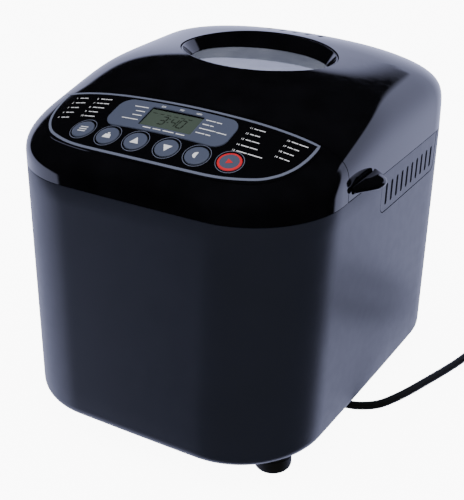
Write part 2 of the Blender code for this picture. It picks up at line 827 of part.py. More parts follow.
def make_pan(material):
    low, top = pan_floor, pan_top
    rim = rim_width / mm
    thin = -pan_sheet / mm
    rings = [pan_ring(low, -8), pan_ring(low + 2 * mm, -2.2), pan_ring(low + 8 * mm, 0),
             pan_ring(top - 2 * mm, 0), pan_ring(top - 2 * mm, rim), pan_ring(top, rim), pan_ring(top, thin),
             pan_ring(low + 8.2 * mm, thin), pan_ring(low + 3.2 * mm, thin - 2.4),
             pan_ring(low + pan_sheet, thin - 8)]
    pan = loft("bread_pan", rings)
    ears = []
    holes = []
    for side in (-1, 1):
        near, far = sorted((side * (pan_half_x - 0.8 * mm), side * (pan_half_x + 4.5 * mm)))
        ears.append(box("ear", (near, chamber_y - 7 * mm, handle_z - 8 * mm),
                        (far, chamber_y + 7 * mm, handle_z + 8.5 * mm)))
        holes.append(rod("ear_hole", (side * (pan_half_x + 0.6 * mm), chamber_y, handle_z),
                         (side * (pan_half_x + 8 * mm), chamber_y, handle_z), handle_wire + 0.4 * mm, 12))
    join(pan, *ears)
    span = ((8, low / mm - 5), (8, low / mm + 5))
    bush_hole = turned("bush_hole", span, (0, chamber_y), 20, closed=False)
    cut(pan, bush_hole, *holes)
    return finish(pan, material)


def handle_reach():
    """Far enough for the bar to swing over the pan's rim."""
    return math.hypot(pan_half_y + rim_width, handle_drop) + handle_wire + 2 * mm


def make_pan_handle(material):
    """A wire bail, stored folded to the front."""
    arm = pan_half_x + rim_width + handle_wire + 3.8 * mm
    reach = handle_reach()
    pin = pan_half_x + 1.2 * mm
    points = [(pin, 0), (arm - 5 * mm, 0)]
    points += [(arm - 5 * mm + 5 * mm * math.sin(a), -5 * mm + 5 * mm * math.cos(a))
               for a in (math.radians(30), math.radians(60), math.radians(90))]
    bend = 15 * mm
    points += [(arm - bend + bend * math.cos(a), -reach + bend - bend * math.sin(a))
               for a in [math.radians(90 * step / 5) for step in range(6)]]
    points += [(-x, y) for x, y in reversed(points)]
    wire_points = [(x, y + chamber_y, handle_z) for x, y in points]
    return finish(wire("pan_handle", wire_points, handle_wire, 1), material)


def pan_profile(pairs):
    return tuple((r, z + pan_floor / mm) for r, z in pairs)


def make_pan_foot(material):
    profile = pan_profile(((27, -13.8), (33.5, -13.8), (33.5, -2), (36, -2), (36, -0.3), (27, -0.3)))
    return finish(turned("pan_foot", profile, (0, chamber_y), 24), material)


def make_pan_bush(material):
    profile = pan_profile(((4.3, -6), (11, -6), (11, -0.3), (7.7, -0.3), (7.7, 1.5), (11, 1.5), (11, 3.5),
                           (4.3, 3.5)))
    return finish(turned("pan_bush", profile, (0, chamber_y), 20), material)


def make_pan_shaft(material):
    profile = pan_profile(((4, -10.5), (4, 25), (3.2, 26)))
    shaft = turned("pan_shaft", profile, (0, chamber_y), 16, closed=False)
    wing = box("wing", (-13 * mm, chamber_y - 2.5 * mm, pan_floor - 10.3 * mm),
               (13 * mm, chamber_y + 2.5 * mm, pan_floor - 6.6 * mm))
    return finish(join(shaft, wing), material)


def make_paddle(material):
    """A hub with one leaning blade."""
    profile = pan_profile(((4.3, 4.2), (9, 4.2), (8, 29), (4.3, 29)))
    hub = turned("kneading_paddle", profile, (0, chamber_y), 20)
    reach = pan_half_y - paddle_clearance
    low = pan_floor + 4.2 * mm
    rings = []
    root = 6 * mm
    for rise, lean, half, short in ((0, 0, 4, 0), (12, 2, 3, 3), (20, 4, 2, 12)):
        front, back = chamber_y + (lean - half) * mm, chamber_y + (lean + half) * mm
        end = reach - short * mm
        rings.append(level([(root, front), (end, front), (end, back), (root, back)], low + rise * mm))
    return finish(join(hub, loft("blade", rings)), material)


# Drive -------------------------------------------------------------------------------------------

def make_chassis(material):
    front = -half_depth + 25.4 * mm
    back = chamber_y + 50 * mm
    foot = base_height + 2 * wall + 2 * gap
    top = chassis_height + 1.5 * mm
    plate = box("chassis_plate", (-chassis_half, front, chassis_height), (chassis_half, back, top))
    flanges = [box("flange", (min(side * chassis_half, side * (chassis_half - 2 * mm)), front, foot),
                   (max(side * chassis_half, side * (chassis_half - 2 * mm)), back, top)) for side in (-1, 1)]
    join(plate, *flanges)
    holes = [rod("hole", (x, y, chassis_height - 5 * mm), (x, y, chassis_height + 5 * mm), r, 20)
             for x, y, r in ((0, chamber_y, 10 * mm), (motor_place_x, motor_y, 7 * mm))]
    cut(plate, *holes)
    finish(plate, material)


def chassis_profile(pairs):
    return tuple((r, z + chassis_height / mm) for r, z in pairs)


def make_bearing_housing(material):
    profile = chassis_profile(((6.6, -3.5), (9.6, -3.5), (9.6, 1.8), (20, 1.8), (20, 4.3), (9.6, 4.3),
                               (9.6, 13.5), (6.6, 13.5)))
    finish(turned("bearing_housing", profile, (0, chamber_y), 24), material)


def make_shaft_bush(material):
    profile = chassis_profile(((4.3, -3), (6.3, -3), (6.3, 13), (4.3, 13)))
    finish(turned("shaft_bush", profile, (0, chamber_y), 20), material)


def make_drive_shaft(material):
    top = chamber_floor / mm + 4
    shaft = turned("drive_shaft", ((3.4, 27.5), (4, 28.1), (4, top)), (0, chamber_y), 16, closed=False)
    return finish(shaft, material)


def make_coupling(material):
    profile = floor_profile(((4.3, 2.2), (13, 2.2), (13, 5.2), (4.3, 5.2)))
    disc = turned("drive_coupling", profile, (0, chamber_y), 20)
    pegs = [rod("peg", (0, chamber_y + side * 9.5 * mm, chamber_floor + 4 * mm),
                (0, chamber_y + side * 9.5 * mm, pan_floor - 7.5 * mm), 2.5 * mm, 10) for side in (-1, 1)]
    return finish(join(disc, *pegs), material)


def pulley_profile(pairs):
    return tuple((r, z + pulley_middle / mm) for r, z in pairs)


def make_drive_pulley(material):
    r = pulley_radius / mm
    profile = pulley_profile(((4.3, -7), (10, -7), (10, -1.5), (r - 4, -1.5), (r - 4, -5.5), (r + 2, -5.5),
                              (r + 2, -4.5), (r - 0.5, -4), (r - 0.5, 4), (r + 2, 4.5), (r + 2, 5.5),
                              (r - 4, 5.5), (r - 4, 1.5), (10, 1.5), (10, 7), (4.3, 7)))
    return finish(turned("drive_pulley", profile, (0, chamber_y), 24), material)


def make_motor_pulley(material):
    r = pinion_radius / mm
    profile = pulley_profile(((3.3, -5.5), (r + 2, -5.5), (r + 2, -4.5), (r - 0.5, -4), (r - 0.5, 4),
                              (r + 2, 4.5), (r + 2, 5.5), (3.3, 5.5)))
    return finish(turned("motor_pulley", profile, (motor_place_x, motor_y), 20), material)


def belt_path(grow):
    """The outline round both pulleys: two arcs and the two straight runs between them."""
    big = Vector((0, chamber_y))
    small = Vector((motor_place_x, motor_y))
    along = big - small
    heading = math.atan2(along.y, along.x)
    lean = math.acos((pulley_radius - pinion_radius) / along.length)
    points = []
    for centre, radius, start, end, steps in (
            (big, pulley_radius, heading - math.pi + lean, heading + math.pi - lean, 24),
            (small, pinion_radius, heading + math.pi - lean, heading + math.pi + lean, 8)):
        for step in range(steps + 1):
            a = start + (end - start) * step / steps
            points.append(tuple(centre + (radius + grow) * Vector((math.cos(a), math.sin(a)))))
    return points


def make_belt(material):
    low, high = pulley_middle - belt_width / 2, pulley_middle + belt_width / 2
    inner = belt_path(0.1 * mm)
    outer = belt_path(0.1 * mm + belt_thickness)
    rings = [level(inner, low), level(outer, low), level(outer, high), level(inner, high)]
    finish(loft("drive_belt", rings, closed=True), material)


def make_motor(material):
    r = motor_radius / mm
    profile = chassis_profile(((4, 1.8), (r, 1.8), (r, 6), (r - 2, 7), (r - 2, 52), (r, 53), (r, 58),
                               (16, 63), (4, 63)))
    finish(turned("motor_body", profile, (motor_place_x, motor_y), 20), material)


def make_motor_shaft(material):
    profile = ((3, pulley_middle / mm - 8), (3, chassis_height / mm + 72))
    return finish(turned("motor_shaft", profile, (motor_place_x, motor_y), 12, closed=False), material)


def make_motor_fan(material):
    """A flat cooling fan with eight blades."""
    blades, per_blade = 8, 5
    low = chassis_height + 65 * mm
    count = blades * per_blade
    outer = []
    inner = []
    for i in range(count):
        a = math.tau * i / count
        r = 23 * mm if i % per_blade < 2 else 8 * mm
        outer.append((motor_place_x + r * math.cos(a), motor_y + r * math.sin(a)))
        inner.append((motor_place_x + 3.3 * mm * math.cos(a), motor_y + 3.3 * mm * math.sin(a)))
    rings = [level(inner, low), level(outer, low), level(outer, low + 5 * mm), level(inner, low + 5 * mm)]
    return finish(loft("motor_fan", rings, closed=True), material)


def make_power_board(material):
    y = chamber_front - sheet - 24 * mm
    board = box("power_board", (6 * mm, y - 0.8 * mm, 72 * mm), (80 * mm, y + 0.8 * mm, 142 * mm))
    parts = [box("transformer", (12 * mm, y - 22 * mm, 80 * mm), (42 * mm, y - 0.4 * mm, 112 * mm)),
             box("relay", (52 * mm, y - 15 * mm, 84 * mm), (70 * mm, y - 0.4 * mm, 98 * mm)),
             rod("capacitor", (60 * mm, y - 24 * mm, 120 * mm), (60 * mm, y - 0.4 * mm, 120 * mm),
                  7 * mm, 12)]
    finish(join(board, *parts), material)


# Cord --------------------------------------------------------------------------------------------

def make_relief(material):
    x, y, z = cord_exit
    sleeve = rod("strain_relief", (x - relief_length, y, z), (x - gap, y, z), 5.4 * mm, 16, 4.2 * mm)
    finish(sleeve, material)


def make_cord(material):
    finish(wire("power_cord", smooth_route(cord_route, 16 * mm), cord_radius, 2), material)
    finish(wire("power_cord_tail", smooth_route(tail_route, 16 * mm), cord_radius, 2), material)


def make_coil(material):
    """The outer shape of the stored turns: two beside each other and two high."""
    r = coil_mean_radius / mm
    width = 2 * cord_radius / mm
    profile = ((r - width, 1.5), (r - width + 1.5, 0), (r + width - 1.5, 0), (r + width, 1.5),
               (r + width, 2 * width - 1.5), (r + width - 1.5, 2 * width), (r - width + 1.5, 2 * width),
               (r - width, 2 * width - 1.5))
    finish(turned("cord_coil", profile, coil_centre, 24), material)


def make_plug(material):
    """A plain moulded plug with two round pins, lying on its side."""
    x, y, z = plug_place
    body = []
    for half_x, half_z, place in ((9, 5.4, -19), (12.5, 7, -16), (12.5, 7, 0), (9.5, 6.8, 13), (6, 6, 18),
                                  (5.2, 5.2, 32.8)):
        points = outline(half_x * mm, half_z * mm, 5 * mm, 0, 4, 1)
        body.append([(x + u, y + place * mm, z + v) for u, v in points])
    plug = loft("power_plug", body)
    pins = [rod("pin", (x + side * 9.5 * mm, y - 17 * mm, z), (x + side * 9.5 * mm, y - 38 * mm, z),
                2.2 * mm, 10, 2.0 * mm) for side in (-1, 1)]
    finish(join(plug, *pins), material)


# Everything --------------------------------------------------------------------------------------

def build():
    for old in list(bpy.data.objects):
        bpy.data.objects.remove(old)
    satin = new_material("satin_housing", (0.020, 0.023, 0.036), 0.34)
    gloss = new_material("gloss_abs", (0.006, 0.006, 0.008), 0.08)
    matte = new_material("black_plastic", (0.012, 0.012, 0.014), 0.5)
    grey = new_material("grey_plastic", (0.07, 0.082, 0.13), 0.35)
    red = new_material("red_button", (0.42, 0.02, 0.03), 0.35)
    display = new_material("display", (0.07, 0.085, 0.065), 0.2)
    rubber = new_material("black_rubber", (0.015, 0.015, 0.016), 0.75)
    glass = new_material("glass", (0.30, 0.33, 0.38), 0.05)
    steel = new_material("steel", (0.55, 0.55, 0.56), 0.35, 1.0)
    aluminium = new_material("aluminium", (0.66, 0.67, 0.68), 0.4, 1.0)
    coated = new_material("non_stick", (0.045, 0.045, 0.048), 0.45, 0.3)
    bronze = new_material("bronze", (0.45, 0.29, 0.13), 0.4, 1.0)
    board = new_material("circuit_board", (0.03, 0.14, 0.05), 0.5)

    make_housing(satin)
    make_grilles(satin)
    make_base_plate(matte)
    make_feet(rubber)
    make_deck(matte)
    make_console(gloss)
    make_overlay(gloss)
    make_bezel(grey)
    make_display(display)
    make_buttons(grey, red)
    make_control_board(board)

    make_chamber(aluminium)
    make_heater(steel)
    make_sensor(steel)
    make_pan_socket(steel)
    make_chassis(steel)
    make_bearing_housing(aluminium)
    make_shaft_bush(bronze)
    make_motor(steel)
    make_belt(rubber)
    make_power_board(board)
    make_hinge_base(matte)
    finish(x_rod("hinge_rod", -hinge_half + 8 * mm, hinge_half - 8 * mm, rod_radius, 12), steel)

    lid = pivot("lid_pivot", (0, hinge_y, hinge_z))
    hang(lid, make_lid_cover(gloss), make_window_rim(gloss), make_window_glass(glass),
         make_lid_liner(aluminium), make_lid_gasket(rubber),
         make_lid_tab("lid_tab_right", 1, gloss), make_lid_tab("lid_tab_left", -1, gloss),
         make_lid_hinge("lid_hinge_right", 1, matte), make_lid_hinge("lid_hinge_left", -1, matte))

    pan = pivot("pan_axis", (0, chamber_y, pan_floor))
    hang(pan, make_pan(coated), make_pan_foot(aluminium), make_pan_bush(bronze))
    handle = pivot("pan_handle_pivot", (0, chamber_y, handle_z))
    hang(handle, make_pan_handle(steel))
    paddle = pivot("paddle_axis", (0, chamber_y, pan_floor))
    hang(paddle, make_pan_shaft(steel), make_paddle(coated))
    drive = pivot("drive_axis", (0, chamber_y, pulley_middle))
    hang(drive, make_drive_shaft(steel), make_coupling(steel), make_drive_pulley(matte))
    motor = pivot("motor_axis", (motor_place_x, motor_y, pulley_middle))
    hang(motor, make_motor_shaft(steel), make_motor_pulley(steel), make_motor_fan(matte))

    make_relief(rubber)
    make_cord(rubber)
    make_coil(rubber)
    make_plug(rubber)


build()
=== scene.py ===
import json
import math

import bmesh
import bpy
import numpy as np
from mathutils import Matrix, Vector


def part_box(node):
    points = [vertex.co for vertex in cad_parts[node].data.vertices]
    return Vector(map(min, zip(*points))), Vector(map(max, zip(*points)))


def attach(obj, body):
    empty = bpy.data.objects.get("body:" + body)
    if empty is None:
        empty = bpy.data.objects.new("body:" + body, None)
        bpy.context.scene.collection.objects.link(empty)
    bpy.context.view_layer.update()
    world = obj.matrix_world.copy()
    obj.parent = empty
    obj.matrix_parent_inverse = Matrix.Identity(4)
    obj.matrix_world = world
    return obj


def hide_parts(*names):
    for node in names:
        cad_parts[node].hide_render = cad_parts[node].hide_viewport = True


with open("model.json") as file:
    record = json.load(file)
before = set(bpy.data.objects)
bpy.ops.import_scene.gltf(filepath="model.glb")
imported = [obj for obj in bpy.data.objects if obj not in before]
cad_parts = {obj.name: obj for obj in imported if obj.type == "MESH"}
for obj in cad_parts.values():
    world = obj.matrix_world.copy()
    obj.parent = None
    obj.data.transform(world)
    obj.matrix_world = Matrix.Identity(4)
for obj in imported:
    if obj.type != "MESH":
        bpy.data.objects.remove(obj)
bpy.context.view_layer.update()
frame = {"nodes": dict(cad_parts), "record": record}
print("frame loaded")

mm = 0.001
gap = 0.3 * mm

# Places read from the frame
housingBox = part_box("outer_housing")
halfWidth = housingBox[1][0] + 0.01 * mm
halfDepth = 153.45 * mm
seam = housingBox[1][2] + gap
baseHeight = housingBox[0][2]
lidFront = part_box("lid_cover")[0][1]
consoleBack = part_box("front_console")[1][1]
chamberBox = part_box("oven_chamber")
middleY = (chamberBox[0][1] + chamberBox[1][1]) / 2
jointPlace = {joint["name"]: joint for joint in frame["record"]["behaviour"]["joints"]}


# Shapes

def roundedOutline(halfX, halfY, radius, bulge=0.0, cornerSteps=14, sideSteps=8, middle=(0, 0)):
    radius = min(radius, halfX - 0.1 * mm, halfY - 0.1 * mm)
    arcs = []
    for corner, (signX, signY) in enumerate(((1, 1), (-1, 1), (-1, -1), (1, -1))):
        centreX, centreY = signX * (halfX - radius), signY * (halfY - radius)
        turns = [math.radians(90) * (corner + step / cornerSteps) for step in range(cornerSteps + 1)]
        arcs.append([Vector((centreX + radius * math.cos(a), centreY + radius * math.sin(a)))
                     for a in turns])
    points = []
    for corner in range(4):
        points += arcs[corner]
        start, end = arcs[corner][-1], arcs[(corner + 1) % 4][0]
        points += [start.lerp(end, step / sideSteps) for step in range(1, sideSteps)]
    return [(x - math.copysign(bulge, x) * (y / halfY) ** 2 + middle[0],
             y - math.copysign(bulge, y) * (x / halfX) ** 2 + middle[1]) for x, y in points]


def boxOutline(left, low, right, high):
    return [(left, low), (right, low), (right, high), (left, high)]


def quarterTurns(steps):
    return [math.radians(90) * step / steps for step in range(steps + 1)]


def centreOf(box):
    return [(low + high) / 2 for low, high in zip(*box)]


def atHeight(points, height):
    return [(x, y, height) for x, y in points]


def ellipse(halfX, halfY, height, middle, count=96):
    return [(middle[0] + halfX * math.cos(math.tau * i / count),
             middle[1] + halfY * math.sin(math.tau * i / count), height) for i in range(count)]


def placed(name, mesh):
    piece = bpy.data.objects.new(name, mesh)
    bpy.context.scene.collection.objects.link(piece)
    return piece


def smoothed(mesh, angle=32):
    mesh.shade_smooth()
    mesh.set_sharp_from_angle(angle=math.radians(angle))


def meshPiece(name, points, faces, angle=32):
    mesh = bpy.data.meshes.new(name)
    mesh.from_pydata([tuple(p) for p in points], [], faces)
    shape = bmesh.new()
    shape.from_mesh(mesh)
    bmesh.ops.remove_doubles(shape, verts=shape.verts, dist=0.001 * mm)
    bmesh.ops.recalc_face_normals(shape, faces=shape.faces)
    shape.to_mesh(mesh)
    shape.free()
    smoothed(mesh, angle)
    return placed(name, mesh)


def skinPiece(name, rings, closed=False, angle=32):
    # rings of equal length, capped at both ends or joined round
    count = len(rings[0])
    points = [point for ring in rings for point in ring]
    faces = []
    for row in range(len(rings) if closed else len(rings) - 1):
        low, high = row * count, (row + 1) % len(rings) * count
        faces += [(low + i, low + (i + 1) % count, high + (i + 1) % count, high + i)
                  for i in range(count)]
    if not closed:
        faces += [tuple(range(count))[::-1], tuple(range(len(points) - count, len(points)))]
    return meshPiece(name, points, faces, angle)


def turnedPiece(name, profile, place=(0, 0, 0), along=(0, 0, 1), count=64, closed=False, angle=32):
    # profile of (radius, height) in millimetres, turned about a line
    turn = Vector(along).to_track_quat("Z", "Y").to_matrix()
    rings = []
    for radius, height in profile:
        ring = []
        for i in range(count):
            a = math.tau * i / count
            local = Vector((radius * math.cos(a), radius * math.sin(a), height)) * mm
            ring.append(Vector(place) + turn @ local)
        rings.append(ring)
    return skinPiece(name, rings, closed, angle)


def blockPiece(name, low, high):
    corners = boxOutline(*low[:2], *high[:2])
    return skinPiece(name, [atHeight(corners, low[2]), atHeight(corners, high[2])])


def wirePiece(name, points, radius, resolution):
    # a round wire that runs through the points
    curve = bpy.data.curves.new(name, "CURVE")
    curve.dimensions = "3D"
    curve.bevel_depth = radius
    curve.bevel_resolution = resolution
    curve.use_fill_caps = True
    spline = curve.splines.new("POLY")
    spline.points.add(len(points) - 1)
    for place, point in zip(spline.points, points):
        place.co = (*point, 1)
    return placed(name, curve)


def finished(piece):
    # the modifiers' result as a plain mesh
    bpy.context.view_layer.update()
    graph = bpy.context.evaluated_depsgraph_get()
    mesh = bpy.data.meshes.new_from_object(piece.evaluated_get(graph))
    mesh.name = piece.name
    if piece.type != "MESH":
        mesh.transform(piece.matrix_world)
        plain = placed(piece.name + "_mesh", mesh)
        name = piece.name
        bpy.data.objects.remove(piece)
        plain.name = name
        return plain
    piece.modifiers.clear()
    piece.data = mesh
    return piece


def withModifier(piece, kind, **settings):
    modifier = piece.modifiers.new(kind.title(), kind)
    for name, value in settings.items():
        setattr(modifier, name, value)
    return finished(piece)


def cutFrom(piece, *cutters, operation="DIFFERENCE"):
    for cutter in cutters:
        modifier = piece.modifiers.new("Cut", "BOOLEAN")
        modifier.operation = operation
        modifier.object = cutter
    finished(piece)
    for cutter in cutters:
        bpy.data.objects.remove(cutter)
    smoothed(piece.data)
    return piece


def joined(name, pieces):
    shape = bmesh.new()
    for piece in pieces:
        shape.from_mesh(piece.data)
    mesh = bpy.data.meshes.new(name)
    shape.to_mesh(mesh)
    shape.free()
    for piece in pieces:
        bpy.data.objects.remove(piece)
    whole = placed(name, mesh)
    smoothed(mesh)
    return whole


def keepPiece(piece, body, material, *replaced, slot=None):
    piece.data.materials.clear()
    piece.data.materials.append(material)
    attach(piece, body)
    if replaced:
        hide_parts(*replaced)
    return piece


# The dome that the console, lid and panel share

dome = {
    "frontRise": 26.7 * mm, "frontSlope": 0.289, "roofRise": 65.7 * mm, "blend": 3 * mm,
    "fallStart": 63.5 * mm, "fall": 31.3 * mm, "sideFall": 12 * mm, "power": 5.6,
    "cornerRadius": 68.6 * mm, "bulge": 1.3 * mm, "wall": 2.5 * mm,
}


def domeRise(x, y):
    front = dome["frontRise"] + dome["frontSlope"] * (y + halfDepth)
    roof = dome["roofRise"] - dome["fall"] * (np.maximum(0, y - dome["fallStart"]) / (100 * mm)) ** 2
    softer = -dome["blend"] * np.logaddexp(-front / dome["blend"], -roof / dome["blend"])
    return softer - dome["sideFall"] * (x / halfWidth) ** 2


def edgeShare(x, y):
    # 0 in the middle of the plan and 1 on its outline
    low, high = np.full(np.shape(x), 1e-6), np.full(np.shape(x), 1.5)
    for _ in range(30):
        share = (low + high) / 2
        acrossX = np.abs(x) / share + dome["bulge"] * np.minimum(1, np.abs(y) / share / halfDepth) ** 2
        acrossY = np.abs(y) / share + dome["bulge"] * np.minimum(1, np.abs(x) / share / halfWidth) ** 2
        overX = acrossX - (halfWidth - dome["cornerRadius"])
        overY = acrossY - (halfDepth - dome["cornerRadius"])
        distance = np.hypot(np.maximum(overX, 0), np.maximum(overY, 0))
        distance = distance + np.minimum(np.maximum(overX, overY), 0)
        outside = distance > dome["cornerRadius"]
        low, high = np.where(outside, share, low), np.where(outside, high, share)
    return high


def domeHeight(x, y, lift=0.0):
    x, y = np.asarray(x, float), np.asarray(y, float)
    climb = np.maximum(1 - edgeShare(x, y) ** dome["power"], 0) ** (1 / dome["power"])
    return seam + (domeRise(x, y) + lift) * climb


def domeNormals(points, lift=0.0):
    def level(p):
        height = np.maximum(p[:, 2] - seam, 0) / (domeRise(p[:, 0], p[:, 1]) + lift)
        return height ** dome["power"] + edgeShare(p[:, 0], p[:, 1]) ** dome["power"]
    step = 0.2 * mm
    slopes = [level(points + step * axis) - level(points - step * axis) for axis in np.eye(3)]
    normals = np.stack(slopes, 1)
    return normals / np.maximum(np.linalg.norm(normals, axis=1, keepdims=True), 1e-12)


def polishDome(piece, lift=0.0):
    # the true surface's normals, so that reflections run evenly over cuts and facets
    mesh = piece.data
    smoothed(mesh)
    count = len(mesh.loops)
    corners = np.empty(count, int)
    mesh.loops.foreach_get("vertex_index", corners)
    points = np.empty(len(mesh.vertices) * 3)
    mesh.vertices.foreach_get("co", points)
    points = points.reshape(-1, 3)
    normals = np.empty(count * 3)
    mesh.corner_normals.foreach_get("vector", normals)
    normals = normals.reshape(-1, 3)
    faceNormals = np.array([polygon.normal for polygon in mesh.polygons
                            for _ in range(polygon.loop_total)])
    near = np.abs(points[:, 2] - domeHeight(points[:, 0], points[:, 1], lift)) < 0.4 * mm
    edge = edgeShare(points[:, 0], points[:, 1]) > 0.97
    exact = domeNormals(points, lift)
    use = (near | edge)[corners] & ((faceNormals * exact[corners]).sum(1) > 0.9)
    normals[use] = exact[corners][use]
    mesh.normals_split_custom_set([tuple(n) for n in normals])
    return piece


def domeSheet(name, lift=0.0, inset=0.0, rows=44):
    plan = np.array(roundedOutline(halfWidth - inset, halfDepth - inset, dome["cornerRadius"] - inset,
                                   dome["bulge"], 26, 18))
    rings = []
    for row in range(rows + 1):
        turn = math.radians(90) * row / rows
        share = math.cos(turn) ** (2 / dome["power"]) if row < rows else 0.16
        spread = plan * share
        climb = math.sin(turn) ** (2 / dome["power"])
        heights = seam + (domeRise(spread[:, 0], spread[:, 1]) + lift) * climb
        rings.append(np.column_stack((spread, heights)))
    rings.append(np.column_stack((plan * 0, np.full(len(plan), seam + domeRise(0.0, 0.0) + lift))))
    count = len(plan)
    faces = []
    for row in range(len(rings) - 1):
        low, high = row * count, (row + 1) * count
        faces += [(low + i, low + (i + 1) % count, high + (i + 1) % count, high + i)
                  for i in range(count)]
    piece = meshPiece(name, np.concatenate(rings), faces)
    shape = bmesh.new()
    shape.from_mesh(piece.data)
    top = max(shape.faces, key=lambda face: face.calc_center_median().z)
    if top.normal.z < 0:
        bmesh.ops.reverse_faces(shape, faces=shape.faces)
    shape.to_mesh(piece.data)
    shape.free()
    return piece


def domeShell(name, planeY, side, bottom):
    # the dome in front of (side -1) or behind (side 1) an upright plane, with its own wall there
    piece = domeSheet(name)
    shape = bmesh.new()
    shape.from_mesh(piece.data)
    everything = list(shape.verts) + list(shape.edges) + list(shape.faces)
    bmesh.ops.bisect_plane(shape, geom=everything, dist=1e-7, plane_co=(0, planeY, 0),
                           plane_no=(0, -side, 0), clear_outer=True)
    cutEdges = [edge for edge in shape.edges if edge.is_boundary
                and all(abs(vert.co.y - planeY) < 1e-6 for vert in edge.verts)]
    wallVerts = [part for part in bmesh.ops.extrude_edge_only(shape, edges=cutEdges)["geom"]
                 if isinstance(part, bmesh.types.BMVert)]
    for vert in wallVerts:
        vert.co.z = seam
    bmesh.ops.remove_doubles(shape, verts=shape.verts, dist=1e-6)
    bmesh.ops.recalc_face_normals(shape, faces=shape.faces)
    if max(shape.faces, key=lambda face: face.calc_center_median().z).normal.z < 0:
        bmesh.ops.reverse_faces(shape, faces=shape.faces)
    for vert in shape.verts:
        vert.co.z = max(vert.co.z, bottom)
    shape.to_mesh(piece.data)
    shape.free()
    withModifier(piece, "SOLIDIFY", thickness=dome["wall"], offset=-1, use_even_offset=True)
    return withModifier(piece, "BEVEL", width=0.5 * mm, segments=2, limit_method="ANGLE",
                        angle_limit=math.radians(50), use_clamp_overlap=True)


def onDome(x, y, lift):
    return Vector((x, y, float(domeHeight(x, y)) + lift))


def domeFrame(x, y, lift):
    # a place on the dome with its own axes: X to the right, Z straight out
    out = Vector(domeNormals(np.array([[x, y, float(domeHeight(x, y))]]))[0])
    right = Vector((1, 0, 0))
    right = (right - right.dot(out) * out).normalized()
    turn = Matrix((right, out.cross(right), out)).transposed()
    return Matrix.Translation(onDome(x, y, 0) + lift * out) @ turn.to_4x4()


# Nodes

def linear(hexColour):
    parts = [int(hexColour[i:i + 2], 16) / 255 for i in (1, 3, 5)]
    return [c / 12.92 if c <= 0.04045 else ((c + 0.055) / 1.055) ** 2.4 for c in parts] + [1.0]


def addNode(tree, kind, inputs=(), **settings):
    node = tree.nodes.new(kind)
    for name, value in settings.items():
        setattr(node, name, value)
    for name, value in dict(inputs).items():
        socket = node.inputs[name]
        if isinstance(value, bpy.types.NodeSocket):
            tree.links.new(value, socket)
        else:
            socket.default_value = value
    return node


def newMaterial(name, **inputs):
    material = bpy.data.materials.new(name)
    material.use_nodes = True
    tree = material.node_tree
    shader = tree.nodes["Principled BSDF"]
    for label, value in inputs.items():
        shader.inputs[label].default_value = value
    return material, tree, shader


def objectNoise(tree, size, detail=3.0, roughness=0.5):
    # a noise whose grains are about this size, in metres
    place = addNode(tree, "ShaderNodeTexCoord").outputs["Object"]
    return addNode(tree, "ShaderNodeTexNoise", {"Vector": place, "Scale": 1 / size, "Detail": detail,
                                                "Roughness": roughness}).outputs["Fac"]


def spread(tree, value, low, high, start=0.35, end=0.65):
    return addNode(tree, "ShaderNodeMapRange", {"Value": value, "From Min": start, "From Max": end,
                                                "To Min": low, "To Max": high}).outputs["Result"]


def bumped(tree, shader, height, distance, strength):
    bump = addNode(tree, "ShaderNodeBump", {"Height": height, "Distance": distance, "Strength": strength})
    tree.links.new(bump.outputs["Normal"], shader.inputs["Normal"])


def roughened(tree, shader, size, low, high, detail=3.0):
    rough = spread(tree, objectNoise(tree, size, detail), low, high)
    tree.links.new(rough, shader.inputs["Roughness"])


def tinted(tree, shader, value, dark, light):
    mix = addNode(tree, "ShaderNodeMix", {"Factor": value}, data_type="RGBA")
    mix.inputs["A"].default_value = linear(dark)
    mix.inputs["B"].default_value = linear(light)
    tree.links.new(mix.outputs["Result"], shader.inputs["Base Color"])


def mouldedPlastic(name, dark, light, roughness, grain, depth, spec=0.5, ior=1.5):
    # injection-moulded plastic: an even tone with faint clouds, over the grain of its mould
    material, tree, shader = newMaterial(name, IOR=ior)
    shader.inputs["Specular IOR Level"].default_value = spec
    tinted(tree, shader, spread(tree, objectNoise(tree, 60 * mm, 2.0), 0.3, 0.7, 0.2, 0.8), dark, light)
    roughened(tree, shader, 9 * mm, roughness * 0.96, roughness * 1.05)
    bumped(tree, shader, objectNoise(tree, grain, 2.0), depth, 0.35)
    return material


def plainMetal(name, dark, light, roughness, grain, depth):
    # metal: the base colour is its reflection, broken by the marks of how it was worked
    material, tree, shader = newMaterial(name, Metallic=1.0)
    tinted(tree, shader, spread(tree, objectNoise(tree, 6 * mm), 0, 1), dark, light)
    roughened(tree, shader, 3 * mm, roughness * 0.8, roughness * 1.2)
    bumped(tree, shader, objectNoise(tree, grain), depth, 0.3)
    return material


def glossAbs():
    # high-gloss ABS from a polished mould: near black, mirror-like, with a hardly wavy skin
    material, tree, shader = newMaterial("highGlossBlackAbs", IOR=1.54)
    tinted(tree, shader, spread(tree, objectNoise(tree, 30 * mm), 0, 1), "#060608", "#0a0a0d")
    roughened(tree, shader, 5 * mm, 0.045, 0.085, 6.0)
    bumped(tree, shader, objectNoise(tree, 22 * mm, 1.0), 0.02 * mm, 0.25)
    return material


def windowGlass():
    # toughened float glass, clear, with sharp reflections; its pale lavender-grey base colour, diffuse where
    # it does not transmit, is a painted reflection of the bright studio
    material, tree, shader = newMaterial("toughenedGlass", IOR=1.52, Alpha=1.0)
    shader.inputs["Transmission Weight"].default_value = 0.55
    # painted reflection: this pale lavender-grey tone stands in for the bright studio seen in the glass
    tinted(tree, shader, spread(tree, objectNoise(tree, 25 * mm), 0, 1), "#8f95ab", "#a9aec2")
    roughened(tree, shader, 12 * mm, 0.03, 0.07)
    return material


